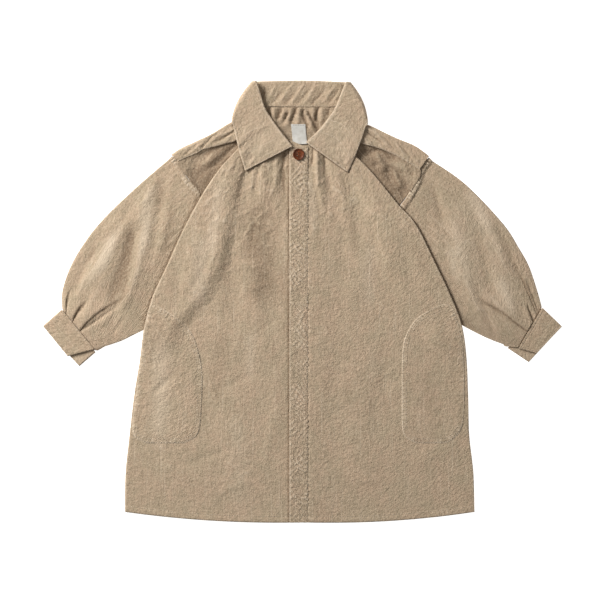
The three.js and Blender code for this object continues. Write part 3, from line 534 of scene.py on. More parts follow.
def back_sheets():
    shoulder, neck = 84, 110
    t = np.linspace(0, 1, shoulder)
    over_neck = np.linspace(0, 1, neck + 2)[1:-1]
    tops = np.concatenate([
        along(SHOULDER["left"]["ridge"], t),
        along(BACK_NECK, over_neck),
        along(SHOULDER["right"]["ridge"], 1 - t),
    ])
    over_side, over_middle = 7, 18
    u = np.concatenate([
        over_side * t,
        over_side + over_middle * over_neck,
        over_side + over_middle + over_side * t,
    ]) / (2 * over_side + over_middle)
    left, right = back_edge("left"), back_edge("right")
    hem = lerp(left[0], right[0], u[:, None])
    hem[:, 1] += (HEM_BOTTOM - left[0, 1]) * (1 - (2 * u - 1) ** 2)
    v = ((left[:, 1] - left[0, 1]) / (left[-1, 1] - left[0, 1]))[:, None, None]
    flat = lerp(hem[None], tops[None], v)
    flat = flat + (left[:, None] - lerp(left[0], tops[0], v)) * (1 - u)[None, :, None]
    flat = flat + (right[:, None] - lerp(right[0], tops[-1], v)) * u[None, :, None]
    x, y = flat[..., 0], flat[..., 1]
    in_neck = ramp(x, -62, -48) * (1 - ramp(x, 40, 54)) * ramp(y, 205, 240)
    gathers = soft_folds(NECK_GATHERS, x, y)
    rise = in_neck * (1.5 + np.clip(2.0 * gathers, -2.4, 2.2) + crumple(x, y, 3))
    rise = rise * (1 - 0.8 * ramp(y, 260.5, 263.5))
    body = at_height(flat, ON_TABLE + over_collar(x, y) + rise)
    # Painted shade: the cloth inside the neck is darker overall, and darker still in the valleys of the
    # gathers.
    wear_and_shading = in_neck * (0.6 * ramp(gathers, 0.5, 1.3) - 0.35 - 1.2 * ramp(-gathers, 0.3, 1.2))
    return [
        (body, wear_and_shading),
        shoulder_strip("left", body[-1, :shoulder], t),
        shoulder_strip("right", body[-1, -shoulder:], 1 - t),
    ]


back = cloth_of("back_cloth", back_sheets(), SINGLE_CLOTH)
lay(back, "back", [])
shoulder_rows = []
for side, line in SHOULDER.items():
    share = np.linspace(0.02, 0.9, 60)
    seam = along(line["seam"], share)
    shoulder_rows.append(seam + EDGE_ROW * unit(along(line["ridge"], share) - seam))
sew("shoulder_stitches", back, shoulder_rows)

# Fronts. Each is a wide linen panel, gathered into the collar, that lies in one big soft fold from the
# shoulder down its side. A tuck runs back under that fold, and at the top the cloth comes out again to the
# shoulder seam and the armhole. The hem is turned up and stitched.
SLEEVE_TOP = 2.4
FRONT_LOW = 3.0
FRONT_OVER_SLEEVE = 7.2
LOWEST_FRONT = 1.6
LAP = CLOTH + SEAM_GAP
FRONT_FOLD = 1.2
FLY_LEFT = -17.6
FLY_RIGHT = 7.6
HEM_BOW = 5
HEM_DEPTH = 8.5
YOKE_ROWS = 4
SEAM_COVER = 1.4
# From the neck to the hem. inner: the edge at the fly. edge: the outer fold. tuck: how far the cloth runs
# back under it. join: where the upper front meets the shoulder seam and the armhole.
FRONTS = {
    "left": {
        "inner": [(5, y) for y in (208, 198, 187, 174, 159, 132, 93, 51, 5, -36, -82, -125, -185, -236,
                                   HEM_BOTTOM)],
        "edge": [(-60, 238), (-72, 225), (-84.5, 210), (-99, 194), (-114, 177), (-137, 142), (-161.5, 96),
                 (-182, 51), (-203, 5), (-214, -36), (-220.5, -82), (-227.5, -125), (-234.5, -185),
                 (-239.5, -234), (-240, -283.5)],
        "tuck": [7, 9, 12, 14, 17, 26, 44, 58, 58, 32, 28, 24, 18, 13, 8],
        "join": [(-69, 240), (-98, 219), (-123, 210.5), (-146.5, 201), (-168.5, 188.5), (-149, 160),
                 (-128, 119), (-130, 64), (-154, 9)],
        "seed": 10,
    },
    "right": {
        "inner": [(6.2, y) for y in (210, 200, 187, 174, 158, 132, 97, 51, 5, -31, -72, -125, -180, -232,
                                     HEM_BOTTOM)],
        "edge": [(43, 226), (56, 213), (71.5, 196.5), (87.5, 181), (104.5, 161.5), (130, 130), (153.5, 103),
                 (179.5, 51), (201, 5), (214.5, -31), (221, -72), (223.5, -125), (225, -180), (230.5, -230),
                 (232, -283.5)],
        "tuck": [7, 9, 12, 14, 17, 26, 40, 58, 56, 32, 28, 24, 18, 13, 8],
        "join": [(52, 227.5), (81, 217), (102, 211), (130, 198), (158, 177.5), (146, 150), (122.5, 116),
                 (125, 56), (149, 9)],
        "seed": 40,
    },
}
# Where the collar's leaves end on the fronts: the inner end, the point, and a place up the outer edge
LEAF_ENDS = {
    "left": [(-13.4, 209.5), (-77.5, 176.6), (-84.5, 200)],
    "right": [(4.2, 214.7), (61, 174.6), (72, 199.5)],
}
# Painted light and shade on the broad folds of each front, the same way as the folds: painted light where it
# is positive
FRONT_PAINTED_SHADING = {
    "left": [
        (-56, 138, -52, -10, 26, -0.62), (-26, 205, -24, 120, 5, -0.5), (-112, 165, -122, 60, 10, 0.5),
        (-134, 90, -144, -14, 13, 0.5), (-108, -30, -116, -150, 12, -0.35), (-190, -45, -196, -200, 17, 0.55),
        (-70, -40, -71, -110, 9, 0.45), (-88, -150, -84, -290, 16, 0.3), (-24, 60, -22, -60, 6, -0.3),
        (-150, -90, -152, -150, 9, 0.2),
    ],
    "right": [
        (10, 165, 14, 90, 7, 0.4), (91, 80, 90, -15, 12, 0.4), (66, 110, 74, 60, 8, -0.35),
        (118, 60, 122, 0, 9, -0.3), (140, 90, 168, 40, 8, -0.3), (90, -60, 96, -110, 10, 0.25),
        (60, -60, 64, -160, 8, -0.25), (168, -90, 176, -160, 12, -0.3), (198, -120, 200, -200, 8, 0.2),
    ],
}
# Large soft folds of each front: from x, y to x, y, then width and height
FRONT_FOLDS = {
    "left": [
        (-25, 205, -27, 135, 5, -1.9), (-46, 205, -58, 130, 9, 1.6), (-68, 205, -86, 120, 8, -1.2),
        (-84, 170, -116, 30, 12, 2.0), (-90, 110, -94, -30, 13, -1.7), (-40, 112, -42, -40, 17, -1.5),
        (-148, 90, -150, 20, 10, 1.2), (-172, 60, -170, -10, 8, -1.2), (-64, 60, -58, -30, 10, 0.8),
        (-120, -30, -35, -75, 15, 0.9), (-80, -110, -90, -270, 22, 0.9), (-190, -215, -120, -255, 12, 0.8),
        (-200, -123, -172, -96, 4, -1.0), (-140, -70, -120, -180, 14, -0.9), (-34, -90, -38, -200, 9, 0.7),
    ],
    "right": [
        (20, 205, 26, 130, 6, 1.5), (31, 205, 40, 140, 6, -1.4), (46, 195, 66, 90, 9, 1.2),
        (62, 170, 84, 60, 9, -1.0), (96, 130, 70, -10, 16, 1.4), (60, 50, 120, -40, 16, -1.1),
        (134, 90, 150, 10, 9, -0.9), (70, -70, 80, -250, 24, 1.1), (150, -215, 215, -190, 12, 0.8),
        (110, -60, 100, -190, 13, -0.9), (28, -40, 26, -150, 8, 0.6),
    ],
}
# Finer creases, the same way: gathers below the collar, then the body
FRONT_CREASES = {
    "left": [
        (-25, 208, -27, 150, 2.4, -1.9), (-21, 206, -21, 158, 2, -0.9), (-34, 203, -37, 150, 3.2, 0.9),
        (-58, 196, -64, 148, 2.6, -0.9), (-63, 192, -72, 140, 3.5, 0.7), (-75, 186, -90, 130, 3, -0.7),
        (-48, 196, -47, 160, 2.5, -0.6), (-84, 204, -92, 176, 2.4, -0.7), (-94, 188, -116, 140, 4, 0.5),
        (-62, 118, -72, 62, 5, -0.7), (-84, 112, -88, 40, 6, 0.6), (-30, 62, -92, 58, 4, -0.5),
        (-36, 26, -84, 16, 4, 0.5), (-120, 60, -150, 20, 5, -0.5), (-100, -10, -84, -70, 5, 0.5),
        (-60, -96, -120, -120, 4, -0.5), (-40, -150, -52, -230, 6, 0.5), (-100, -200, -170, -222, 4, -0.5),
        (-60, -240, -130, -262, 4, 0.4), (-30, -20, -60, -40, 3, -0.5),
    ],
    "right": [
        (14, 206, 13, 184, 2.0, -1.6), (19, 204, 20, 152, 2.8, 1.3), (29, 198, 31, 168, 2.0, -1.1),
        (36, 194, 42, 150, 3, 0.8), (50, 186, 60, 140, 3, -0.7), (66, 184, 84, 138, 3.5, 0.6),
        (76, 178, 92, 150, 2.4, -0.6), (20, 150, 24, 90, 4, -0.5), (58, 110, 52, 56, 5, -0.6),
        (100, 96, 120, 40, 5, 0.6), (30, 40, 74, 26, 4, -0.5), (80, -6, 128, -32, 4, 0.6),
        (24, -60, 60, -84, 4, -0.5), (96, -90, 110, -160, 5, 0.5), (44, -140, 90, -166, 4, -0.5),
        (36, -226, 100, -246, 5, 0.5), (140, -230, 200, -252, 4, -0.4), (30, 120, 70, 104, 3, 0.4),
    ],
}
# The same, where the upper front shows in the hollow at each shoulder
HOLLOW_CREASES = {
    "left": [
        (-104, 205, -142, 182, 5, 1.4), (-100, 198, -140, 172, 4, -1.2), (-120, 202, -134, 166, 6, 1.2),
        (-80, 216, -110, 196, 5, -2.0), (-150, 194, -158, 176, 3, 0.9), (-128, 176, -146, 166, 3, -1.0),
        (-92, 212, -104, 208, 3, 0.9), (-112, 186, -122, 180, 2, -0.9), (-140, 190, -150, 168, 4, -0.8),
    ],
    "right": [
        (88, 200, 106, 207, 4, -2.2), (106, 207, 126, 190, 4, -1.9), (98, 200, 112, 178, 3.6, 2.6),
        (112, 178, 120, 162, 4, -2.4), (118, 190, 146, 178, 5, 1.4), (122, 178, 134, 150, 3, 1.8),
        (82, 207, 90, 196, 3, -2.2), (130, 153, 140, 142, 3, -2.0), (140, 184, 150, 168, 3, -0.9),
        (114, 184, 138, 172, 2.4, -0.9), (97, 187, 101, 182, 3, -1.6),
    ],
}


def even_shares(line, count):
    """Shares of a line that lie at equal distances along it."""
    t = np.linspace(0, 1, 600)
    run = run_lengths(line(t))
    return np.interp(np.linspace(0, run[-1], count), run, t)


def from_line(points, x, y):
    """Distance from a line of straight runs, positive on its left, and the length run along it."""
    points = np.asarray(points, float)
    nearest = np.full(np.shape(x), 1e9)
    side, run = np.zeros(np.shape(x)), np.zeros(np.shape(x))
    covered = 0.0
    for a, b in zip(points[:-1], points[1:]):
        step = b - a
        length = math.hypot(*step)
        t = np.clip(((x - a[0]) * step[0] + (y - a[1]) * step[1]) / length**2, 0, 1)
        dx, dy = x - (a[0] + t * step[0]), y - (a[1] + t * step[1])
        away = np.hypot(dx, dy)
        nearer = away < nearest
        nearest = np.where(nearer, away, nearest)
        side = np.where(nearer, np.where(step[0] * dy - step[1] * dx < 0, -1, 1), side)
        run = np.where(nearer, covered + t * length, run)
        covered += length
    return nearest * side, run


def front_at(side, y):
    """The outer fold's x, and the width of the tuck under it, at a height up the coat."""
    rows = np.array(FRONTS[side]["edge"], float)[::-1]
    return np.interp(y, rows[:, 1], rows[:, 0]), np.interp(y, rows[:, 1], FRONTS[side]["tuck"][::-1])


def front_height(side, x, y):
    """The middle of a front's cloth: low over the back, and up over its tuck, the sleeve and the neck."""
    edge, tuck = front_at(side, y)
    inwards = np.abs(edge) - np.abs(x)
    over_sleeve = ramp(y, -85, -38) * (1 - ramp(inwards, tuck, tuck + 28))
    at_neck = 0.4 * ramp(y, 140, 200)
    beside_fly = 0.42 * (1 - ramp(x, FLY_RIGHT, FLY_RIGHT + 45)) if side == "right" else 0
    climb = 1 - (1 - over_sleeve) * (1 - at_neck) * (1 - beside_fly)
    clear_of_fly = ramp(np.abs(x - (FLY_LEFT + FLY_RIGHT) / 2), 12.6, 18)
    near_edge = 0.2 + 0.8 * ramp(inwards, 0, 30)
    rise = soft_folds(FRONT_FOLDS[side], x, y) * clear_of_fly * near_edge
    if side == "right":
        rise = rise - 1.35 * (1 - ramp(x, FLY_RIGHT - 1.2, FLY_RIGHT - 0.2))
    return lerp(FRONT_LOW, FRONT_OVER_SLEEVE, climb) + rise + over_collar(x, y)


def hem_line(side, x):
    """The y of a front's hem."""
    outer, inner = FRONTS[side]["edge"][-1], FRONTS[side]["inner"][-1]
    t = np.clip((x - inner[0]) / (outer[0] - inner[0]), 0, 1)
    return lerp(inner[1], outer[1], t) - HEM_BOW * 4 * t * (1 - t)


def front_detail(side, x, y):
    """Creases, hem and crumple of a front, and how worn they leave it, with its painted light and shade."""
    seed = FRONTS[side]["seed"]
    inwards = np.abs(front_at(side, y)[0]) - np.abs(x)
    sharp = soft_folds(FRONT_CREASES[side], x, y) * ramp(inwards, 0, 10)
    hem = y - hem_line(side, x)
    hem_pucker = puckers(hem - 0.6 * HEM_DEPTH, x, 6.5, 7, 0.55, seed + 1, 0.25)
    hem_fold = 0.35 * (1 - ramp(hem, HEM_DEPTH - 0.5, HEM_DEPTH + 0.8))
    fold_pucker = puckers(inwards, y, 11, 5, 0.22, seed + 5, 0.5)
    crumpled = (0.85 + 0.7 * ramp(y, 20, 150)) * crumple(x, y, seed)
    clear_of_fly = ramp(np.abs(x - (FLY_LEFT + FLY_RIGHT) / 2), 11, 15)
    beside_fold = groove(x - FLY_LEFT + 0.9, 0.9, 1.3) if side == "left" else 0
    at_fly = puckers(x - FLY_RIGHT, y, 7.5, 9, 0.7, seed + 3, 0.5) * ramp(x, 6, 8) if side == "right" else 0
    leaf_rim, _ = from_line(LEAF_ENDS[side], x, y)
    under_rim = near(leaf_rim, 1.5)
    rise = (sharp + crumpled) * clear_of_fly + hem_pucker + hem_fold + groove(hem - HEM_DEPTH) + fold_pucker
    rise = rise + beside_fold + at_fly - 0.5 * under_rim
    wear_and_shading = 0.5 * ramp(hem_pucker, 0.15, 0.5) + 0.8 * (1 - ramp(inwards, 0.8, 2.6))
    wear_and_shading = wear_and_shading + 0.5 * ramp(crumpled, 0.15, 0.5)
    # Painted shade darkens the crease valleys.
    wear_and_shading = wear_and_shading + 0.35 * ramp(sharp, 0.3, 1.4) - 0.6 * ramp(-sharp, 0.3, 1.4)
    # Painted shadow lines beside the fly's fold and under the rims of the collar's leaves.
    wear_and_shading = wear_and_shading + 1.3 * beside_fold + 0.5 * ramp(at_fly, 0.2, 0.6) - 1.4 * under_rim
    # Painted light and shade on the broad folds.
    wear_and_shading = wear_and_shading + soft_folds(FRONT_PAINTED_SHADING[side], x, y)
    return rise, wear_and_shading


def front_lines(side, v):
    """For shares down a front: its inner edge, its outer edge, the way between them and the tuck's end."""
    table = FRONTS[side]
    start, end = along(table["inner"], v), along(table["edge"], v)
    tuck = along(np.array(table["tuck"], float)[:, None], v)
    out = unit(end - start)
    return start, end, out, end - out * tuck


def front_panel(side):
    """The panel down a front, its fold at the side and the tuck that runs back under it."""
    table = FRONTS[side]
    v = even_shares(lambda t: (along(table["inner"], t) + along(table["edge"], t)) / 2, 275)
    start, end, out, tuck_end = front_lines(side, v)
    fold = end - out * (FRONT_FOLD + CLOTH / 2)
    u = np.linspace(0, 1, 128)
    flat = lerp(start[:, None], fold[:, None], u[None, :, None])
    flat[..., 1] -= (HEM_BOW * ramp(v, 0.85, 1))[:, None] * 4 * u * (1 - u)
    x, y = flat[..., 0], flat[..., 1]
    rise, wear_and_shading = front_detail(side, x, y)
    panel = at_height(flat, np.maximum(front_height(side, x, y) + rise, LOWEST_FRONT))
    top = panel[:, -1, 2]
    tuck_top = np.maximum(top - 2 * FRONT_FOLD, ON_TABLE)
    radius = (top - tuck_top) / 2
    centre = at_height(fold, top - radius)
    turn = np.flip(half_turn(centre, at_height(out, 0.0), radius, 7), axis=1)[:, 1:]
    low_point = at_height(fold, tuck_top)
    tuck_low = lerp(ON_TABLE, tuck_top, ramp(end[:, 1], -50, -20))
    w = np.linspace(0, 1, 9)[1:]
    under = at_height(lerp(fold[:, None], tuck_end[:, None], w[None, :, None]), 0.0)
    under[..., 2] = lerp(tuck_top[:, None], tuck_low[:, None], w)
    main = np.concatenate([panel, turn, low_point[:, None], under], axis=1)
    wear_and_shading_grid = np.concatenate([wear_and_shading, np.repeat(0.6 * wear_and_shading[:, -1:], main.shape[1] - len(u), axis=1)], axis=1)
    return main, wear_and_shading_grid


def upper_front(side):
    """The top of a front, from its turn under the tuck out to the shoulder seam and the armhole."""
    table = FRONTS[side]
    row_count = len(table["edge"]) - 1
    shown = np.linspace(0, (len(table["join"]) - 1) / row_count, 120)
    tuck_end = front_lines(side, shown)[-1]
    row = shown * row_count
    join = along(table["join"], row / (len(table["join"]) - 1))
    join = join + SEAM_COVER * unit(join - tuck_end)
    under_yoke = YOKE_TOP - YOKE_SLOPE - LAP - SLEEVE_TOP
    over_sleeve = 1 - ramp(row, YOKE_ROWS + 1, YOKE_ROWS + 1.3)
    seam_z = SLEEVE_TOP + lerp(under_yoke + 0.5, LAP, ramp(row, YOKE_ROWS, YOKE_ROWS + 1)) * over_sleeve
    low_z = SLEEVE_TOP + 0.6 * ramp(tuck_end[:, 1], 190, 215) + over_collar(tuck_end[:, 0], tuck_end[:, 1])
    w = np.linspace(0, 1, 46)
    flat = lerp(tuck_end[:, None], join[:, None], w[None, :, None])
    x, y = flat[..., 0], flat[..., 1]
    z = lerp(low_z[:, None], seam_z[:, None], ramp(w, 0.72, 1)[None, :])
    outside = np.abs(x) - np.abs(front_at(side, y)[0])
    seed = table["seed"] + 20
    run = run_lengths(join)
    to_seam = (1 - w) * np.linalg.norm(join - tuck_end, axis=1)[:, None]
    gathered = puckers(to_seam, run[:, None], 7, 9, 0.8, seed, 0.3) * (1 - ramp(row, 3.6, 4.2))[:, None]
    creases = soft_folds(HOLLOW_CREASES[side], x, y) * ramp(to_seam, 2, 8)
    rise = ramp(outside, 0, 9) * (0.7 + creases) + gathered + 0.8 * crumple(x, y, seed)
    rise = rise * ramp(outside, -6, 3)
    # Painted shade in the hollow at the shoulder: darkest next to the front's fold and towards the neck,
    # lighter towards the sleeve.
    hollow_painted_shade = 1.15 + 0.75 * (1 - ramp(outside, 4, 26)) - 0.7 * ramp(outside, 20, 42)
    hollow_painted_shade = hollow_painted_shade + 0.55 * ramp(row, 4.2, 0)[:, None]
    upper_wear_and_shading = 0.6 * ramp(gathered, 0.3, 0.7) + 0.6 * ramp(creases, 0.5, 1.5)
    # Painted shade darkens the crease valleys.
    upper_wear_and_shading = upper_wear_and_shading - 1.1 * ramp(-creases, 0.4, 1.4)
    return at_height(flat, z + np.maximum(rise, -1.5)), upper_wear_and_shading - hollow_painted_shade


for side in FRONTS:
    front = cloth_of("front_" + side + "_cloth", [front_panel(side), upper_front(side)], SINGLE_CLOTH)
    lay(front, "front_" + side, ["back_cloth", "sleeve_" + side + "_cloth"])
    x = np.linspace(FRONTS[side]["inner"][-1][0], FRONTS[side]["edge"][-1][0], 80)[2:-1]
    sew("hem_stitches_" + side, front, [np.stack([x, hem_line(side, x) + HEM_DEPTH], axis=-1)])

# Sleeves. Each is a tube of linen pressed flat, set into the armhole with a felled seam, and pleated into
# its cuff.
SLEEVE_PUFF = 1.6
SEAM_LAP = 2.6
UNDER_CUFF = 2.2
PLEAT_HEIGHT = 1.0
PLEAT_STEP = 0.009
PLEAT_SPREAD = 0.2
FELLED_BAND = 6.5
BAND_MIDDLE = 3.4
FELLED_ROWS = (1.2, 5.6)
# From the armhole to the cuff. outer: the edge below the shoulder. lower: the edge at the body. A pleat's
# row is its place across the cuff, its drift up the sleeve, its reach, and 1 where its outer side is raised
# or -1 where its inner side is.
SLEEVES = {
    "left": {
        "outer": [(-174.8, 196), (-224, 154), (-269, 111), (-294, 80), (-312.5, 49), (-324, 16),
                  (-324.5, -9.5)],
        "lower": [(-180, -22), (-205, -33.5), (-228, -44.5), (-243, -52), (-258, -57.5), (-270, -61),
                  (-280.5, -63.5)],
        "pleats": [(0.1, 0.0, 0.2, 1), (0.31, 0.32, 0.3, 1), (0.55, 0.24, 0.62, 1)],
        "seed": 80,
    },
    "right": {
        "outer": [(168.3, 193.5), (218.5, 159), (270, 105.5), (292, 72), (305.5, 47.5), (317, 13.5),
                  (322.5, -7)],
        "lower": [(182, -17), (207, -27.5), (230, -39.5), (246, -47.5), (260, -53.5), (276, -59),
                  (290.5, -62.5)],
        "pleats": [(0.17, 0.0, 0.45, 1), (0.37, -0.4, 0.24, -1), (0.6, 0.16, 0.62, 1)],
        "seed": 90,
    },
}
CUFFS = {
    "left": {"hand": [(-350.6, -32.5), (-317, -73.5)], "tab": [(-301.5, -87), (-277, -66)]},
    "right": {"hand": [(350, -33), (315.5, -69.5)], "tab": [(305, -81.5), (273.5, -60.5)]},
}
SLEEVE_FOLDS = {
    "left": [
        (-236, 112, -292, 18, 10, 2.2), (-272, 88, -312, 10, 7, -1.8), (-226, 96, -262, -10, 9, -2.0),
        (-200, 120, -240, 0, 9, 1.6), (-188, 172, -204, 60, 7, -1.6), (-204, 165, -222, 100, 8, 1.2),
        (-262, 0, -300, -28, 8, 1.0),
    ],
    "right": [
        (226, 150, 286, 40, 10, 1.6), (262, 104, 312, -8, 6.5, -2.6), (172, 160, 190, 104, 7, -1.3),
        (236, 100, 258, 4, 9, -1.3), (200, 120, 232, 0, 10, 1.2), (184, 70, 218, -10, 8, -1.0),
        (262, 40, 284, -20, 8, 1.2), (306, 60, 324, 0, 5, 1.2),
    ],
}
# Painted light and shade on each sleeve's folds, as on the fronts
SLEEVE_PAINTED_SHADING = {
    "left": [
        (-206, 160, -214, 60, 9, 0.5), (-176, 160, -186, 60, 8, -0.4), (-230, 110, -242, -14, 8, -0.6),
        (-258, 90, -272, 40, 9, 0.5), (-288, 62, -300, 10, 8, 0.35), (-300, 30, -280, 70, 4, -0.3),
    ],
    "right": [
        (226, 155, 252, 96, 10, 0.5), (160, 150, 172, 92, 9, -0.4), (222, -20, 236, -50, 9, -0.5),
        (200, 70, 206, 20, 9, 0.35), (270, 80, 290, 30, 6, -0.35), (268, 30, 282, -20, 10, 0.3),
        (196, 140, 286, -20, 60, 0.3),
    ],
}
# Finer creases: the long soft ones from the shoulder, then those at the pleats
SLEEVE_CREASES = {
    "left": [
        (-190, 172, -230, 110, 5, 0.6), (-182, 150, -215, 80, 5, -0.6), (-232, 130, -270, 60, 5, -0.6),
        (-180, 120, -196, 60, 5, 0.5), (-248, 118, -288, 62, 5, 0.5), (-215, 60, -245, -20, 5, 0.7),
        (-236, 30, -262, -40, 4, -0.8), (-320, -13, -313, 16, 2.2, -1.2), (-311, -26, -290, 1, 2.4, -1.4),
        (-301, -40, -247, -4, 2.6, -1.4), (-296, -20, -262, 40, 6, 0.8), (-276, -32, -232, 10, 5, 0.7),
        (-306, 0, -290, 44, 5, 0.6), (-258, -46, -240, -20, 3, -0.7),
    ],
    "right": [
        (180, 168, 222, 108, 5, 0.6), (176, 148, 205, 82, 5, -0.6), (228, 126, 262, 62, 5, -0.5),
        (172, 118, 190, 60, 5, 0.5), (250, 112, 282, 60, 5, 0.5), (214, 40, 242, -20, 5, 0.7),
        (232, 30, 256, -34, 4, -0.8), (320, -18, 303, 30, 3, -1.9), (312, -28, 303, -4, 2.4, -1.4),
        (304, -41, 240, 2, 2.6, -1.5), (309, -10, 286, 50, 5, 0.9), (290, -30, 246, 14, 5, 0.7),
        (262, -44, 244, -20, 3, -0.7),
    ],
}


def shifted(points, distance):
    """A line moved sideways, to its left where the distance is positive."""
    way = unit(np.gradient(np.asarray(points, float), axis=0))
    return points + distance * np.stack([-way[:, 1], way[:, 0]], axis=-1)


def pleat_rise(side, s, t):
    """How far pleats lift the sleeve's top layer near the cuff, and the slits beside them."""
    rise, slit = 0, 0
    for place, drift, reach, raised in SLEEVES[side]["pleats"]:
        beyond = raised * (t - place - drift * (1 - s))
        builds = ramp(beyond, -PLEAT_SPREAD, -PLEAT_STEP) ** 0.7
        drops = 1 - ramp(beyond, -PLEAT_STEP, PLEAT_STEP)
        deep = ramp(s, 1 - reach, 1 - 0.55 * reach)
        rise = rise + PLEAT_HEIGHT * deep * builds * drops
        slit = slit + deep * near(beyond - PLEAT_STEP / 2, 1.6 * PLEAT_STEP)
    return rise, slit


def sleeve_top(side, cover, t, span, x, y):
    """A sleeve's top layer: its height with seam, folds and pleats, its wear, and its painted light and
    shade.
    """
    past_front = OUTWARD[side] * (x - front_at(side, y)[0])
    clear = ramp(past_front, 0, 30)
    in_shade = near(past_front - 0.8, 2.2) * ramp(y, -50, -20)
    puff = np.sin(math.pi * t) ** 0.7 * ramp(cover, 0.02, 0.35) * (1 - 0.4 * ramp(cover, 0.8, 1))
    folds = soft_folds(SLEEVE_FOLDS[side], x, y) * np.sin(math.pi * t) ** 0.6
    pleats, slits = pleat_rise(side, cover, t)
    pleats = pleats * np.minimum(1, 14 * t * (1 - t))
    z = SLEEVE_TOP + 0.6 + clear * (SLEEVE_PUFF * puff + folds) - 0.6 * (1 - clear) + pleats

    seed = SLEEVES[side]["seed"]
    seam = along(ARMHOLE[side], np.linspace(0, 1, 60))
    from_seam, run = from_line(seam, x, y)
    from_seam = np.abs(from_seam)
    seam_pucker = puckers(from_seam - BAND_MIDDLE, run, 4.8, 3.4, 1.9, seed, 0.2)
    felled = 1.1 * (1 - ramp(from_seam, FELLED_BAND - 0.4, FELLED_BAND + 1.2))
    felled = felled + groove(from_seam - FELLED_BAND - 1.6, 0.5, 1.0)
    edge_of_seam = -0.5 * (1 - ramp(from_seam, 0, 1.2))
    creases = soft_folds(SLEEVE_CREASES[side], x, y) * ramp(from_seam, 3, 14)
    creases = creases * np.minimum(1, 10 * t * (1 - t))
    cuff_gathers = puckers((1 - cover) * 210, t * span, 8, 12, 0.5, seed + 2, 0.3)
    crumpled = 0.85 * crumple(x, y, seed) * np.minimum(1, 14 * t * (1 - t))
    detail = seam_pucker + felled + edge_of_seam + creases + cuff_gathers + crumpled
    z = z + detail * ramp(past_front, -2, 5) * ramp(cover, 0, 0.012) - 0.5 * in_shade - 0.6 * slits
    z = lerp(z, UNDER_CUFF, ramp(cover, 0.976, 1))
    # Paler on worn ridges and edges. Painted shade darkens the valleys of creases and folds.
    wear_and_shading = 0.9 * ramp(seam_pucker, 0.2, 0.6) + 0.4 * ramp(creases, 0.4, 1) - 0.6 * ramp(-creases, 0.5, 1.4)
    wear_and_shading = wear_and_shading + 0.5 * ramp(crumpled, 0.15, 0.5) + 0.4 * (1 - ramp(np.minimum(t, 1 - t) * span, 0.5, 2.5))
    wear_and_shading = wear_and_shading + 0.5 * ramp(folds, 0.3, 2) - 0.7 * ramp(-folds, 0.3, 1.8)
    # Painted shade near the front's fold, and a painted shadow line along its edge.
    wear_and_shading = wear_and_shading - 0.25 * (1 - clear) - 0.8 * in_shade
    in_band = 1 - ramp(np.abs(from_seam - BAND_MIDDLE), 2.6, 3.6)
    band_edge = near(from_seam - FELLED_BAND - 1.4, 1.0) + near(from_seam - 0.4, 0.8)
    # Painted shadow in the pleats' slits and between the seam's puckers.
    wear_and_shading = wear_and_shading - 1.2 * slits + 0.35 * in_band - 0.6 * in_band * (1 - ramp(seam_pucker, 0.1, 0.5))
    # Painted shadow lines along the edges of the felled band.
    wear_and_shading = wear_and_shading - 0.4 * band_edge * (1 - ramp(run, 105, 125))
    # Painted light and shade on the sleeve's broad folds.
    wear_and_shading = wear_and_shading + soft_folds(SLEEVE_PAINTED_SHADING[side], x, y)
    return z, wear_and_shading


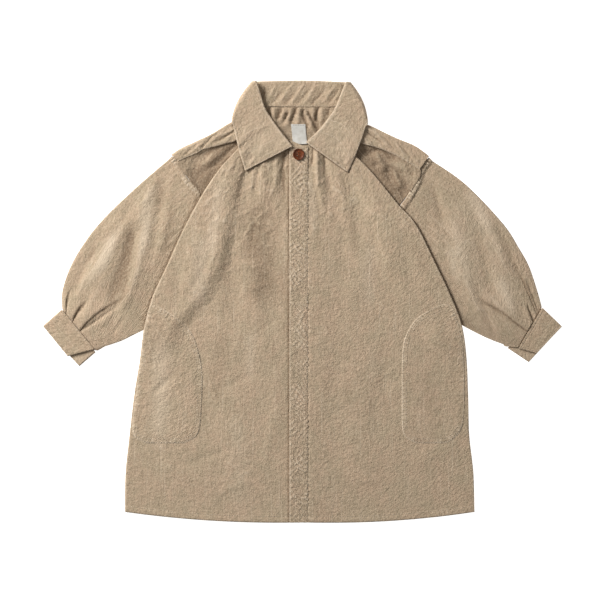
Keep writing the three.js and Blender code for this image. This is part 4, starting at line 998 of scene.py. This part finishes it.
def sleeve_sheet(side):
    table = SLEEVES[side]
    outer, lower = np.array(table["outer"], float), np.array(table["lower"], float)
    armhole = ARMHOLE[side]

    def plan(s, t):
        straight = lerp(along(outer, s), along(lower, s), t[..., None])
        bend = along(armhole, t) - lerp(outer[0], lower[0], t[..., None])
        return straight + bend * ((1 - s) ** 2)[..., None]

    rings, tops, lows = 150, 104, 34
    s = np.linspace(0.008, 1, rings)[:, None]
    u = np.linspace(0, 1, tops)
    across = (0.6 * u + 0.4 * u * u)[None, :]
    ends = plan(s, np.zeros_like(s)), plan(s, np.ones_like(s))
    span = np.linalg.norm(ends[1] - ends[0], axis=-1)
    inset = (FRONT_FOLD + CLOTH / 2) / span
    to_lower = unit(ends[1] - ends[0])[:, 0]
    cover = np.broadcast_to(s, (rings, tops))
    t = np.broadcast_to(across, (rings, tops))
    flat = plan(cover, lerp(inset, 1 - inset, t))
    x, y = flat[..., 0], flat[..., 1]

    z, wear_and_shading = sleeve_top(side, cover, t, span, x, y)
    top = at_height(flat, z)
    cuff_shift = np.array(CUFFS[side]["tab"][1]) - lower[-1]
    late = ramp(s[:, 0], 0.75, 1)

    def edge_turn(point, out, shift):
        radius = (point[:, 2] - ON_TABLE) / 2
        centre = point - np.array([0, 0, 1]) * radius[:, None]
        turn = half_turn(centre, at_height(out, 0.0), radius, 7)
        moved = 1 - ramp(np.linspace(0, 1, 8)[1:], 0.5, 1)
        turn[..., :2] += shift[:, None] * moved[None, :, None]
        return turn

    shift = cuff_shift[None, :] * late[:, None]
    lower_turn = np.flip(edge_turn(top[:, -1], to_lower, shift), axis=1)[:, 1:]
    outer_turn = edge_turn(top[:, 0], -to_lower, shift * 0)
    t_low = np.linspace(1, 0, lows)
    low_cover = np.broadcast_to(s, (rings, lows))
    t_under = lerp(inset, 1 - inset, np.broadcast_to(t_low, (rings, lows)))
    low = plan(low_cover, t_under) + (shift[:, None] * t_low[None, :, None])
    ring = np.concatenate([top, lower_turn, at_height(low, ON_TABLE), outer_turn], axis=1)
    wear_and_shading_grid = np.concatenate([wear_and_shading, np.zeros((rings, ring.shape[1] - tops))], axis=1)

    # The top layer runs on a little under the body's edge, and into the cuff
    reach = np.full((ring.shape[1], 1), 0.02)
    reach[:tops] = SEAM_LAP
    body_end = ring[0] + unit(ring[0] - ring[2]) * reach
    reach[:tops + lower_turn.shape[1]] = SEAM_LAP
    reach[tops - 8:tops + lower_turn.shape[1]] = 3 * SEAM_LAP
    cuff_end = ring[-1] + unit(ring[-1] - ring[-3]) * reach
    body_end[:, 2], cuff_end[:, 2] = ring[0, :, 2], ring[-1, :, 2]
    ring = np.concatenate([body_end[None], ring, cuff_end[None]])
    return ring, np.concatenate([wear_and_shading_grid[:1], wear_and_shading_grid, wear_and_shading_grid[-1:]])


for side in SLEEVES:
    sleeve = cloth_of("sleeve_" + side + "_cloth", [sleeve_sheet(side)], SINGLE_CLOTH)
    lay(sleeve, "sleeve_" + side, [])
    seam = along(ARMHOLE[side], np.linspace(0.03, 0.45, 60))
    sew("armhole_stitches_" + side, sleeve, [shifted(seam, OUTWARD[side] * row) for row in FELLED_ROWS])

# Cuffs. Each is a doubled band, folded at the outer edge of the sleeve, with its under end showing as a
# tab below the top layer. A row of stitches runs along the seam and another along the edge at the hand.
DOUBLED_CLOTH = 1.6
CUFF_WALL = 1.4
CUFF_ROW = 2.5


def cuff_sheet(side):
    table = SLEEVES[side]
    outer, lower = np.array(table["outer"][-1], float), np.array(table["lower"][-1], float)
    hand, tab = np.array(CUFFS[side]["hand"]), np.array(CUFFS[side]["tab"])
    row = np.linspace(0, 1, 46)
    top_share, low_share = lerp(0.025, 1, row)[:, None], lerp(0.1, 1, row)[:, None]
    inset = DOUBLED_CLOTH / 2 + FRONT_FOLD
    low = DOUBLED_CLOTH / 2
    front = lerp(lower, hand[1], top_share)
    out = unit(lerp(outer, hand[0], top_share) - front)

    def turn_at(share):
        return lerp(outer, hand[0], share) - out * inset

    under = lerp(tab[1], tab[0], low_share)
    top = low + 2 * FRONT_FOLD + SEAM_GAP * (1 - row)
    u = np.linspace(0, 1, 40)
    flat = lerp(front[:, None], turn_at(top_share)[:, None], u[None, :, None])
    x, y = flat[..., 0], flat[..., 1]
    seed = table["seed"] + 5
    length = np.linalg.norm(turn_at(top_share) - front, axis=1)[:, None]
    to_sleeve = row[:, None] * np.linalg.norm(hand[1] - lower)
    to_hand = (1 - row)[:, None] * np.linalg.norm(hand[1] - lower)
    run = u[None, :] * length
    pucker = puckers(to_sleeve - 2, run, 6, 5, 0.45, seed)
    pucker = pucker + puckers(to_hand - 2, run, 6.5, 4, 0.35, seed + 1)
    stitched = groove(to_sleeve - CUFF_ROW, 0.3) + groove(to_hand - CUFF_ROW, 0.3)
    crumpled = 0.7 * crumple(x, y, seed)
    rise = np.maximum(pucker + stitched + crumpled, -0.5) * ramp(run, 0, 2)
    upper = at_height(flat, top[:, None] + rise)
    radius = (top - low) / 2
    angle = np.linspace(math.pi / 2, -math.pi / 2, 8)[1:]
    blend = ((np.sin(angle) + 1) / 2)[None, :, None]
    turn_flat = lerp(turn_at(low_share)[:, None], turn_at(top_share)[:, None], blend)
    turn_flat = turn_flat + out[:, None] * (radius[:, None] * np.cos(angle))[..., None]
    turn = at_height(turn_flat, low + radius[:, None] * (1 + np.sin(angle)))
    w = np.linspace(0, 1, 30)[1:]
    below = at_height(lerp(turn_at(low_share)[:, None], under[:, None], w[None, :, None]), low)
    wear_and_shading = 0.5 * ramp(pucker, 0.15, 0.4) + 0.6 * (1 - ramp(np.minimum(to_hand, run), 0.5, 1.6))
    wear_and_shading = np.broadcast_to(wear_and_shading + 0.4 * ramp(crumpled, 0.15, 0.4), x.shape)
    full = np.concatenate([upper, turn, below], axis=1)
    return full, np.concatenate([wear_and_shading, np.full((len(row), full.shape[1] - len(u)), 0.3)], axis=1)


for side in SLEEVES:
    cuff = cloth_of("cuff_" + side + "_cloth", [cuff_sheet(side)], CUFF_WALL, quarter_turn=True)
    lay(cuff, "cuff_" + side, [])
    seam_ends = np.array([SLEEVES[side]["lower"][-1], SLEEVES[side]["outer"][-1]])
    hand_ends = np.array(CUFFS[side]["hand"][::-1])
    inset = CUFF_ROW / np.linalg.norm(hand_ends[0] - seam_ends[0])
    rows = []
    for share in (inset, 1 - inset):
        first, last = lerp(seam_ends, hand_ends, share)
        rows.append(lerp(first, last, np.linspace(0.02, 0.96, 30)[:, None]))
    sew("cuff_stitches_" + side, cuff, rows)

# Pockets. Two patch pockets lie on the lower fronts. Their tops are cut in an arc from the side seam, and
# they are sewn down with two rows of stitches.
POCKET_ROWS = (1.6, 6.5)
# Down the pocket: y, then the x of the inner and the outer edge
POCKETS = {
    "left": [(-5, -196, -203), (-12, -184, -208), (-22, -169, -210.5), (-40, -151, -214),
             (-62, -141.5, -216.5), (-95, -135, -221), (-140, -136, -227), (-170, -138.5, -230),
             (-183, -145, -226), (-191, -160, -210)],
    "right": [(-3, 189, 197), (-10, 173, 203), (-22, 154, 207.5), (-40, 141.5, 212.5),
              (-60, 135, 216.5), (-95, 133.5, 218.5), (-140, 133.5, 218.5), (-170, 134, 215),
              (-183, 139, 206), (-191, 153, 193)],
}


def pocket_sheet(side):
    table = np.array(POCKETS[side], float)
    inner, outer = table[:, [1, 0]], table[:, [2, 0]]
    v = even_shares(lambda t: along(inner, t), 118)
    u = np.linspace(0, 1, 52)
    flat = lerp(along(inner, v)[:, None], along(outer, v)[:, None], u[None, :, None])
    x, y = flat[..., 0], flat[..., 1]
    fine = np.linspace(0, 1, 40)
    outline = np.concatenate([along(inner, fine), along(outer, fine[::-1]), along(inner, fine[:1])])
    edge_distance, run = from_line(outline, x, y)
    edge_distance = np.abs(edge_distance)
    seed = FRONTS[side]["seed"] + 6
    below, _ = front_detail(side, x, y)
    pucker = puckers(edge_distance - 3.5, run, 6, 4.5, 0.8, seed, 0.2)
    rows = groove(edge_distance - POCKET_ROWS[0], 0.12, 0.9)
    rows = rows + groove(edge_distance - POCKET_ROWS[1], 0.2, 0.9)
    crumpled = 0.7 * crumple(x, y, seed)
    rise = np.maximum(pucker + rows + crumpled, -0.1) * ramp(edge_distance, 0, 3)
    z = front_height(side, x, y) + below + 0.03 + 0.4 * ramp(edge_distance, 0, 10) + rise
    # The front's painted light and shade of its broad folds carries on over the pocket.
    wear_and_shading = soft_folds(FRONT_PAINTED_SHADING[side], x, y) + 0.6 * ramp(pucker, 0.15, 0.45)
    wear_and_shading = wear_and_shading + 0.6 * (1 - ramp(edge_distance, 1.2, 2.8))
    return at_height(flat, z), wear_and_shading + 0.4 * ramp(crumpled, 0.15, 0.45)


for side in POCKETS:
    pocket = cloth_of("pocket_" + side + "_cloth", [pocket_sheet(side)], SINGLE_CLOTH)
    lay(pocket, "pocket_" + side, ["front_" + side + "_cloth"])
    table = np.array(POCKETS[side], float)
    edge = np.concatenate([along(table[:, [1, 0]], np.linspace(0.03, 1, 60)), table[-3:, [2, 0]][::-1]])
    sew("pocket_stitches_" + side, pocket, [shifted(edge, OUTWARD[side] * row) for row in POCKET_ROWS])

# Fly. A doubled band down the middle of the right front laps over the left one and hides the buttoning.
# It is washed into short crossing creases.
FLY_TOP = 210
FLY_CLOTH = 1.4
FLY_ROW = 1.4
FLY_CRUSH = 1.9
CROSSING_PITCH = 7.5


def fly_sheet():
    y = np.linspace(FLY_TOP, HEM_BOTTOM, 400)[:, None]
    x = np.linspace(FLY_LEFT, FLY_RIGHT, 27)[None, :]
    x, y = np.broadcast_arrays(x, y)
    z = front_height("left", x, y) + CLOTH / 2 + SEAM_GAP + DOUBLED_CLOTH / 2
    crossing = 0
    for slant, seed in ((1.1, 21), (-0.9, 27)):
        place = y + slant * x + 7 * noise(x, y, 17, seed)
        wave = 0.5 + 0.5 * np.cos(2 * math.pi * place / CROSSING_PITCH)
        crossing = crossing + 0.5 * wave**3 * np.clip(noise(x, y, 12, seed + 2) + 0.4, 0, 1)
    from_fold, from_seam = x - FLY_LEFT, FLY_RIGHT - x
    fold_pucker = puckers(from_fold, y, 9, 5, 0.35, 31, 0.8)
    seam_pucker = puckers(from_seam - 2, y, 6, 4, 0.6, 33, -0.6)
    hem = y - HEM_BOTTOM
    hem_pucker = puckers(hem - 5, x, 6.5, 6, 0.4, 35) + groove(hem - HEM_DEPTH)
    crumpled = crumple(x, y, 37)
    rise = 1.5 * crossing + fold_pucker + seam_pucker + hem_pucker + crumpled
    rise = rise + groove(from_seam - FLY_ROW, 0.35, 0.9)
    rise = rise - 0.5 * (1 - ramp(from_fold, 0, 1.6)) - 0.3 * (1 - ramp(from_seam, 0, 2.5))
    wear_and_shading = 0.7 * (1 - ramp(from_fold, 0.5, 1.8)) + 0.5 * ramp(crossing, 0.2, 0.5)
    wear_and_shading = wear_and_shading + 0.4 * ramp(fold_pucker + seam_pucker, 0.15, 0.4) + 0.4 * ramp(crumpled, 0.1, 0.3)
    # Painted shade darkens the cloth between the crossing creases.
    wear_and_shading = wear_and_shading + 0.2 - 0.25 * (1 - ramp(crossing, 0.05, 0.3))
    return at_height(np.stack([x, y], axis=-1), z + rise), wear_and_shading


fly = cloth_of("fly_cloth", [fly_sheet()], FLY_CLOTH, linen("linen_fly", FLY_CRUSH))
lay(fly, "fly", ["front_left_cloth"])
fly_seam = [(FLY_RIGHT - FLY_ROW, FLY_TOP - 1), (FLY_RIGHT - FLY_ROW, HEM_BOTTOM + 1)]
fly_hem = [(FLY_LEFT + 1, HEM_BOTTOM + HEM_DEPTH), (FLY_RIGHT - 1, HEM_BOTTOM + HEM_DEPTH)]
sew("fly_stitches", fly, [fly_seam, fly_hem])

# Collar. One doubled piece of linen folded over at its roll line. Flattened, it is a ring round the neck:
# its front ends lie open on the fronts, and its back lies under the back, with the inside of its stand
# showing above the neck seam.
COLLAR_CLOTH = 1.5
COLLAR_WALL = 1.25
COLLAR_LOW = COLLAR_CLOTH / 2
COLLAR_ROW = 2.6
COLLAR_TOP = 12.4
COLLAR_EDGE_DROP = 0.9
LEAF_DRAPE = 3.6
END_DROP = 1.6
OVER_YOKE = 10.4
EDGE_TUCK = 6
ROLL_FOLD = 1.25
SIDE_BULGE = 5
# From the front end round to the shoulder. roll: where it folds over. edge: its outer edge. stand: the
# height of the part inside the fold.
COLLAR = {
    "left": {"roll": [LEAF_ENDS["left"][0], (-35, 237.5), (-51, 262), (-68.4, 297.6)],
             "edge": [*LEAF_ENDS["left"][1:], (-90.8, 226), (-95.4, 246.5)]},
    "right": {"roll": [LEAF_ENDS["right"][0], (24, 234.5), (43, 260), (64.5, 296.6)],
              "edge": [*LEAF_ENDS["right"][1:], (81, 224), (87.3, 245)]},
}
STAND = [3.5, 11, 20, 31]
COLLAR_BACK = {"roll": (1, 299), "edge": (1, 235), "stand": 36.8}
# Slanting creases on the inside of the back of the collar, then those of its two points
STAND_CREASES = [
    (-50, 268, -36, 290, 2.0, 0.7), (-42, 266, -28, 284, 1.8, -0.6), (-32, 267, -14, 292, 2.2, 0.8),
    (-24, 266, -12, 280, 1.6, -0.7), (-16, 266, 2, 294, 1.8, 0.7), (-8, 266, 8, 284, 1.6, -0.6),
    (2, 267, 18, 290, 2.0, 0.8), (12, 266, 20, 276, 1.5, -0.8), (16, 268, 34, 292, 1.8, -0.5),
    (26, 267, 44, 292, 2.0, 0.8), (34, 266, 48, 284, 1.6, -0.5), (40, 268, 54, 288, 2.0, 0.6),
    (-56, 272, -50, 288, 2.4, -0.8), (50, 276, 56, 292, 2.2, -0.7),
]
LEAF_CREASES = [
    (-72, 182, -64, 196, 2.2, 0.6), (-64, 180, -70, 200, 1.8, -0.5), (-60, 196, -46, 216, 6, 0.5),
    (-80, 214, -60, 250, 6, 0.4), (56, 184, 62, 192, 1.6, 0.8), (60, 180, 52, 190, 1.6, -0.8),
    (64, 190, 56, 200, 2.0, 0.7), (50, 190, 40, 206, 5, 0.5), (70, 216, 56, 250, 6, 0.4),
    (44, 208, 58, 222, 2.6, -0.4), (-40, 206, -30, 222, 3, -0.4), (-78, 232, -84, 244, 3, -0.4),
]


def collar_stations():
    """Round the collar: roll and edge points, side bulge, and how far each is turned over its side."""
    side_inset = (COLLAR_TOP - COLLAR_LOW) / 2 + COLLAR_LOW

    def leaf(name, shares):
        outward = OUTWARD[name]
        roll, edge = along(COLLAR[name]["roll"], shares), along(COLLAR[name]["edge"], shares)
        stand = along(np.array(STAND, float)[:, None], shares)[:, 0]
        stations = []
        for i, v in enumerate(shares):
            roll_in = roll[i] + (-outward * side_inset * ramp(v, 0.6, 1), 0)
            edge_down = edge[i] - (0, EDGE_TUCK * ramp(v, 0.8, 1))
            bulge = outward * SIDE_BULGE * ramp(v, 0.4, 1)
            drape = 1 - ramp(v, 0.4, 0.95)
            stations.append((roll_in, edge_down, bulge, math.pi / 2, outward, stand[i], drape))
        return stations

    def side_turn(name, angles):
        outward = OUTWARD[name]
        roll = COLLAR[name]["roll"][-1] - np.array((outward * side_inset, 0))
        stations = []
        for angle in angles:
            edge = COLLAR[name]["edge"][-1] - np.array((0, EDGE_TUCK * max(0.0, math.sin(angle)) ** 2))
            stations.append((roll, edge, outward * SIDE_BULGE, angle, outward, STAND[-1], 0))
        return stations

    def back_part(shares):
        shift = np.array([(side_inset, 0), (0, 0), (-side_inset, 0)])
        rolls = shift + [COLLAR["left"]["roll"][-1], COLLAR_BACK["roll"], COLLAR["right"]["roll"][-1]]
        edges = [COLLAR["left"]["edge"][-1], COLLAR_BACK["edge"], COLLAR["right"]["edge"][-1]]
        roll, edge = along(rolls, shares), along(edges, shares)
        stand = lerp(STAND[-1], COLLAR_BACK["stand"], ramp(np.minimum(shares, 1 - shares), 0, 0.15))
        bulge = SIDE_BULGE * (2 * shares - 1) ** 3
        return [(roll[i], edge[i], bulge[i], -math.pi / 2, 1, stand[i], 0) for i in range(len(shares))]

    leaf_shares = np.linspace(0, 1, 78)
    angles = np.linspace(math.pi / 2, -math.pi / 2, 16)[1:-1]
    return (leaf("left", leaf_shares) + side_turn("left", angles) + back_part(np.linspace(0, 1, 100))
            + side_turn("right", angles[::-1]) + leaf("right", leaf_shares[::-1]))


def under_leaf(x, y):
    """The height at which a leaf of the collar rests on what lies below it."""
    side = "left" if x[0] < 0 else "right"
    outside = np.abs(x) - np.abs(front_at(side, y)[0])
    on_front = front_height(side, x, y) + front_detail(side, x, y)[0] + (SINGLE_CLOTH + COLLAR_CLOTH) / 2
    on_fly = FLY_CLOTH * (1 - ramp(np.abs(x - (FLY_LEFT + FLY_RIGHT) / 2), 13, 18))
    return lerp(on_front + on_fly + 0.6, OVER_YOKE, ramp(outside, -4, 3))


def collar_sheet():
    rows, wear_and_shading_rows = [], []
    rims = {name: [COLLAR[name]["roll"][0], *COLLAR[name]["edge"]] for name in COLLAR}
    for roll, edge, bulge, angle, outward, stand, drape in collar_stations():
        length = np.linalg.norm(edge - roll)
        beyond = at_height(unit(roll - edge), 0.0)

        def place(t):
            flat = lerp(roll, edge, t[:, None])
            radius = (COLLAR_TOP - COLLAR_EDGE_DROP * t - COLLAR_LOW) / 2
            flat[:, 0] += bulge * np.sin(math.pi * t) + outward * radius * math.cos(angle) * (1 - t)
            z = COLLAR_LOW + radius * (1 + math.sin(angle))
            return at_height(flat, z - drape * (END_DROP + LEAF_DRAPE * t**1.4))

        into = np.array([-outward * math.cos(angle), 0, -math.sin(angle)])
        start = (ROLL_FOLD + COLLAR_CLOTH / 2) / length
        fall_t = lerp(1, start, np.linspace(0, 1, 46))
        fall = place(fall_t)
        if angle == math.pi / 2:
            gap = fall[:, 2] - under_leaf(fall[:, 0], fall[:, 1])
            fall[:, 2] += (np.sqrt(gap**2 + 0.4) - gap) / 2 * ramp((fall_t - start) * length, 2, 14)
        turn = half_turn(fall[-1] + into * ROLL_FOLD, beyond, ROLL_FOLD, 8, into)
        inside_t = lerp(start, max(start + 0.02, stand / length), np.linspace(0, 1, 26)[1:])
        inside = place(inside_t) + into * 2 * ROLL_FOLD

        x, y = fall[:, 0], fall[:, 1]
        rim, run = from_line(rims["left" if x[0] < 0 else "right"], x, y)
        rim = np.abs(rim)
        pucker = puckers(rim - 1.5, run, 7, 3, 0.25, 51, 0.3)
        crumpled = 0.75 * crumple(x, y, 53)
        rise = pucker + soft_folds(LEAF_CREASES, x, y) + crumpled + groove(rim - COLLAR_ROW, 0.3, 0.9)
        rise = (rise - 0.25 * (1 - ramp(rim, 0, 1.5))) * max(0.0, math.sin(angle))
        fall = fall - into * rise[:, None]
        # A painted shadow line runs about 3 mm inside the leaf's rim.
        wear_and_shading_grid = 0.3 * drape + 0.8 * (1 - ramp(rim, 0.4, 1.5)) - 0.5 * near(rim - 3, 1.1)
        wear_and_shading_grid = wear_and_shading_grid + 0.4 * ramp(crumpled, 0.1, 0.4) + 0.3 * ramp(pucker, 0.1, 0.2)
        wear_and_shading_grid = wear_and_shading_grid + 0.5 * (1 - ramp((fall_t - start) * length, 0, 2.5))

        below = max(0.0, -math.sin(angle))
        x, y = inside[:, 0], inside[:, 1]
        to_seam = stand - inside_t * length
        pucker = puckers(to_seam, x, 6, 6, 0.5, 59, 0.7)
        creases = 1.5 * soft_folds(STAND_CREASES, x, y) + 1.4 * crumple(x, y, 57)
        rise = (creases + pucker) * ramp((inside_t - start) * length, 0, 5) + 0.35 * (1 - ramp(to_seam, 2, 7))
        inside = inside + into * (rise * below)[:, None]
        inner_wear_and_shading = 0.5 * ramp(creases, 0.2, 1) + 0.6 * ramp(pucker, 0.2, 0.5)
        # Painted shade darkens the crease valleys and, over the back, the whole inside of the stand.
        inner_wear_and_shading = inner_wear_and_shading - 0.4 * ramp(-creases, 0.1, 0.8)
        inner_wear_and_shading = (inner_wear_and_shading - 0.25) * below
        rows.append(np.concatenate([fall, turn, inside]))
        wear_and_shading_rows.append(np.concatenate([wear_and_shading_grid, np.full(len(turn), 0.5), inner_wear_and_shading]))
    return np.array(rows), np.array(wear_and_shading_rows)


collar = cloth_of("collar_cloth", [collar_sheet()], COLLAR_WALL, quarter_turn=True)
lay(collar, "collar", ["front_left_cloth", "front_right_cloth", "back_cloth"])
collar_rows = [[(-52, 263.7), (-20, 264), (14, 264), (46, 263.7)]]
for name in COLLAR:
    inwards = OUTWARD[name] * COLLAR_ROW
    end, point = COLLAR[name]["roll"][0], COLLAR[name]["edge"][0]
    front_edge = np.linspace(end, point, 60)[3:-4]
    outer_edge = along(COLLAR[name]["edge"], np.linspace(0.07, 0.8, 60))
    collar_rows += [shifted(front_edge, inwards), shifted(outer_edge, inwards)]
sew("collar_stitches", collar, collar_rows)

# Label. A small woven tape of white cotton, sewn by its top edge inside the back of the neck, so that its
# lower end hangs free. It is bare.
LABEL = {"left": -15.6, "right": 3.6, "top": 239.3, "bottom": 212.6, "slant": 2.6}
LABEL_WALL = 0.5
LABEL_ROW = 1.3
LABEL_WHITE = (0.62, 0.60, 0.55, 1)
LABEL_SOILED = (0.54, 0.515, 0.46, 1)
LABEL_RIB = (0.55, 0.54, 0.52, 1)


def label_paint():
    paint, shader, start = new_paint("label_tape")
    grain = start.node("UVMap", uv_map="grain")
    rib = grain.patches((2600, 300, 1), 1.0)
    soil = grain.patches((160, 160, 1), 2.0)
    colour = soil.band(0.4, 0.7).mix(LABEL_WHITE, LABEL_SOILED)
    rib.band(0.6, 0.8).mix(colour, LABEL_RIB).into(shader, "Base Color")
    (0.6 + rib * 0.2).into(shader, "Roughness")
    start.node("Bump", {"Height": rib, "Strength": 0.5, "Distance": 0.0002}).into(shader, "Normal")
    return paint


def label_sheet():
    v, u = np.meshgrid(np.linspace(0, 1, 46), np.linspace(0, 1, 36), indexing="ij")
    x = lerp(LABEL["left"], LABEL["right"], u) + LABEL["slant"] * v
    y = lerp(LABEL["top"], LABEL["bottom"], v)
    below = np.array([top_of(back, a, b) for a, b in zip(x.ravel(), y.ravel())]).reshape(x.shape)
    rests = np.maximum.accumulate(np.nanmax(below, axis=1)[::-1])[::-1]
    rests = np.convolve(np.pad(rests, 6, mode="edge"), np.full(13, 1 / 13), mode="valid")
    z = rests[:, None] + 0.5
    curl = 0.5 * np.sin(math.pi * u) * ramp(v, 0.1, 0.7) + 0.6 * ramp(v, 0.75, 1) * ramp(u, 0.5, 1)
    ripple = 0.18 * noise(x, y, 6, 91) + groove(LABEL["top"] - y - 1.4, 0.25, 0.8)
    return at_height(np.stack([x, y], axis=-1), z + curl + ripple), np.zeros(x.shape)


label = cloth_of("label_tape", [label_sheet()], LABEL_WALL, label_paint())
lay(label, "label", ["back_cloth"])
label_row = [(LABEL["left"] + 1, LABEL["top"] - LABEL_ROW), (LABEL["right"] - 0.6, LABEL["top"] - LABEL_ROW)]
sew("label_stitches", label, [label_row], thread_paint("label_thread", LABEL_WHITE))

# Button. A turned button of reddish-brown nut with a raised rim and a dished face, sewn on through four
# holes with brown thread at the top of the fly.
BUTTON_PLACE = (-5.5, 198.6)
BUTTON_RADIUS = 7.8
BUTTON_THICK = 2.6
RIM = 1.3
DISH_SLOPE = 0.9
DISH_DEPTH = 0.8
HOLLOW_SLOPE = 1.2
HOLLOW_DEPTH = 0.1
ROUNDING = 0.45
HOLE_RADIUS = 0.85
HOLE_OFFSET = 1.7
CROSSING = 3.1
NUT_BROWN = (0.165, 0.042, 0.011, 1)
NUT_DARK = (0.06, 0.016, 0.005, 1)
BROWN_THREAD = (0.10, 0.035, 0.016, 1)


def nut_paint():
    paint, shader, start = new_paint("nut_button")
    place = start.node("TexCoord", output="Object")
    streak = place.patches((260, 900, 260), 3.0)
    cloud = place.patches((180, 180, 180), 2.0)
    (streak * 0.6 + cloud * 0.4).band(0.38, 0.64).mix(NUT_DARK, NUT_BROWN).into(shader, "Base Color")
    (0.38 + cloud * 0.2).into(shader, "Roughness")
    shader.inputs["Specular IOR Level"].default_value = 0.25
    start.node("Bump", {"Height": streak, "Strength": 0.25, "Distance": 0.0001}).into(shader, "Normal")
    return paint


button_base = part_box("button")[0].z
button_x, button_y = BUTTON_PLACE[0] * MM, BUTTON_PLACE[1] * MM
bpy.ops.mesh.primitive_cylinder_add(
    vertices=56, radius=BUTTON_RADIUS * MM, depth=BUTTON_THICK * MM,
    location=(button_x, button_y, button_base + BUTTON_THICK * MM / 2),
)
button = bpy.context.object
button.name = "button_nut"
bpy.ops.object.transform_apply(location=True, rotation=True, scale=True)
bpy.ops.object.mode_set(mode="EDIT")
bpy.ops.mesh.select_mode(type="FACE")
bpy.ops.mesh.select_all(action="DESELECT")
bpy.ops.object.mode_set(mode="OBJECT")
for face in button.data.polygons:
    face.select = face.normal.z > 0.9
bpy.ops.object.mode_set(mode="EDIT")
bpy.ops.mesh.inset(thickness=RIM * MM)
bpy.ops.mesh.inset(thickness=DISH_SLOPE * MM, depth=-DISH_DEPTH * MM)
bpy.ops.mesh.inset(thickness=HOLLOW_SLOPE * MM, depth=-HOLLOW_DEPTH * MM)
bpy.ops.object.mode_set(mode="OBJECT")
rounding = button.modifiers.new("rounding", "BEVEL")
rounding.width = ROUNDING * MM
rounding.segments = 3
rounding.limit_method = "ANGLE"
bpy.ops.object.modifier_apply(modifier="rounding")
for dx in (-HOLE_OFFSET, HOLE_OFFSET):
    for dy in (-HOLE_OFFSET, HOLE_OFFSET):
        bpy.ops.object.select_all(action="DESELECT")
        bpy.ops.mesh.primitive_cylinder_add(
            vertices=20, radius=HOLE_RADIUS * MM, depth=3 * BUTTON_THICK * MM,
            location=(button_x + dx * MM, button_y + dy * MM, button_base),
        )
        drill = bpy.context.object
        bpy.ops.object.select_all(action="DESELECT")
        button.select_set(True)
        bpy.context.view_layer.objects.active = button
        hole = button.modifiers.new("hole", "BOOLEAN")
        hole.operation = "DIFFERENCE"
        hole.solver = "EXACT"
        hole.object = drill
        bpy.ops.object.modifier_apply(modifier="hole")
        bpy.data.objects.remove(drill)
bpy.ops.object.shade_smooth_by_angle(angle=math.radians(40))
button.data.materials.clear()
button.data.materials.append(nut_paint())
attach(button, "root")
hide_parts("button")
button_x, button_y = BUTTON_PLACE
crossing_rows = [
    [(button_x - CROSSING, button_y - CROSSING), (button_x + CROSSING, button_y + CROSSING)],
    [(button_x - CROSSING, button_y + CROSSING), (button_x + CROSSING, button_y - CROSSING)],
]
sew("button_thread", button, crossing_rows, thread_paint("brown_thread", BROWN_THREAD))
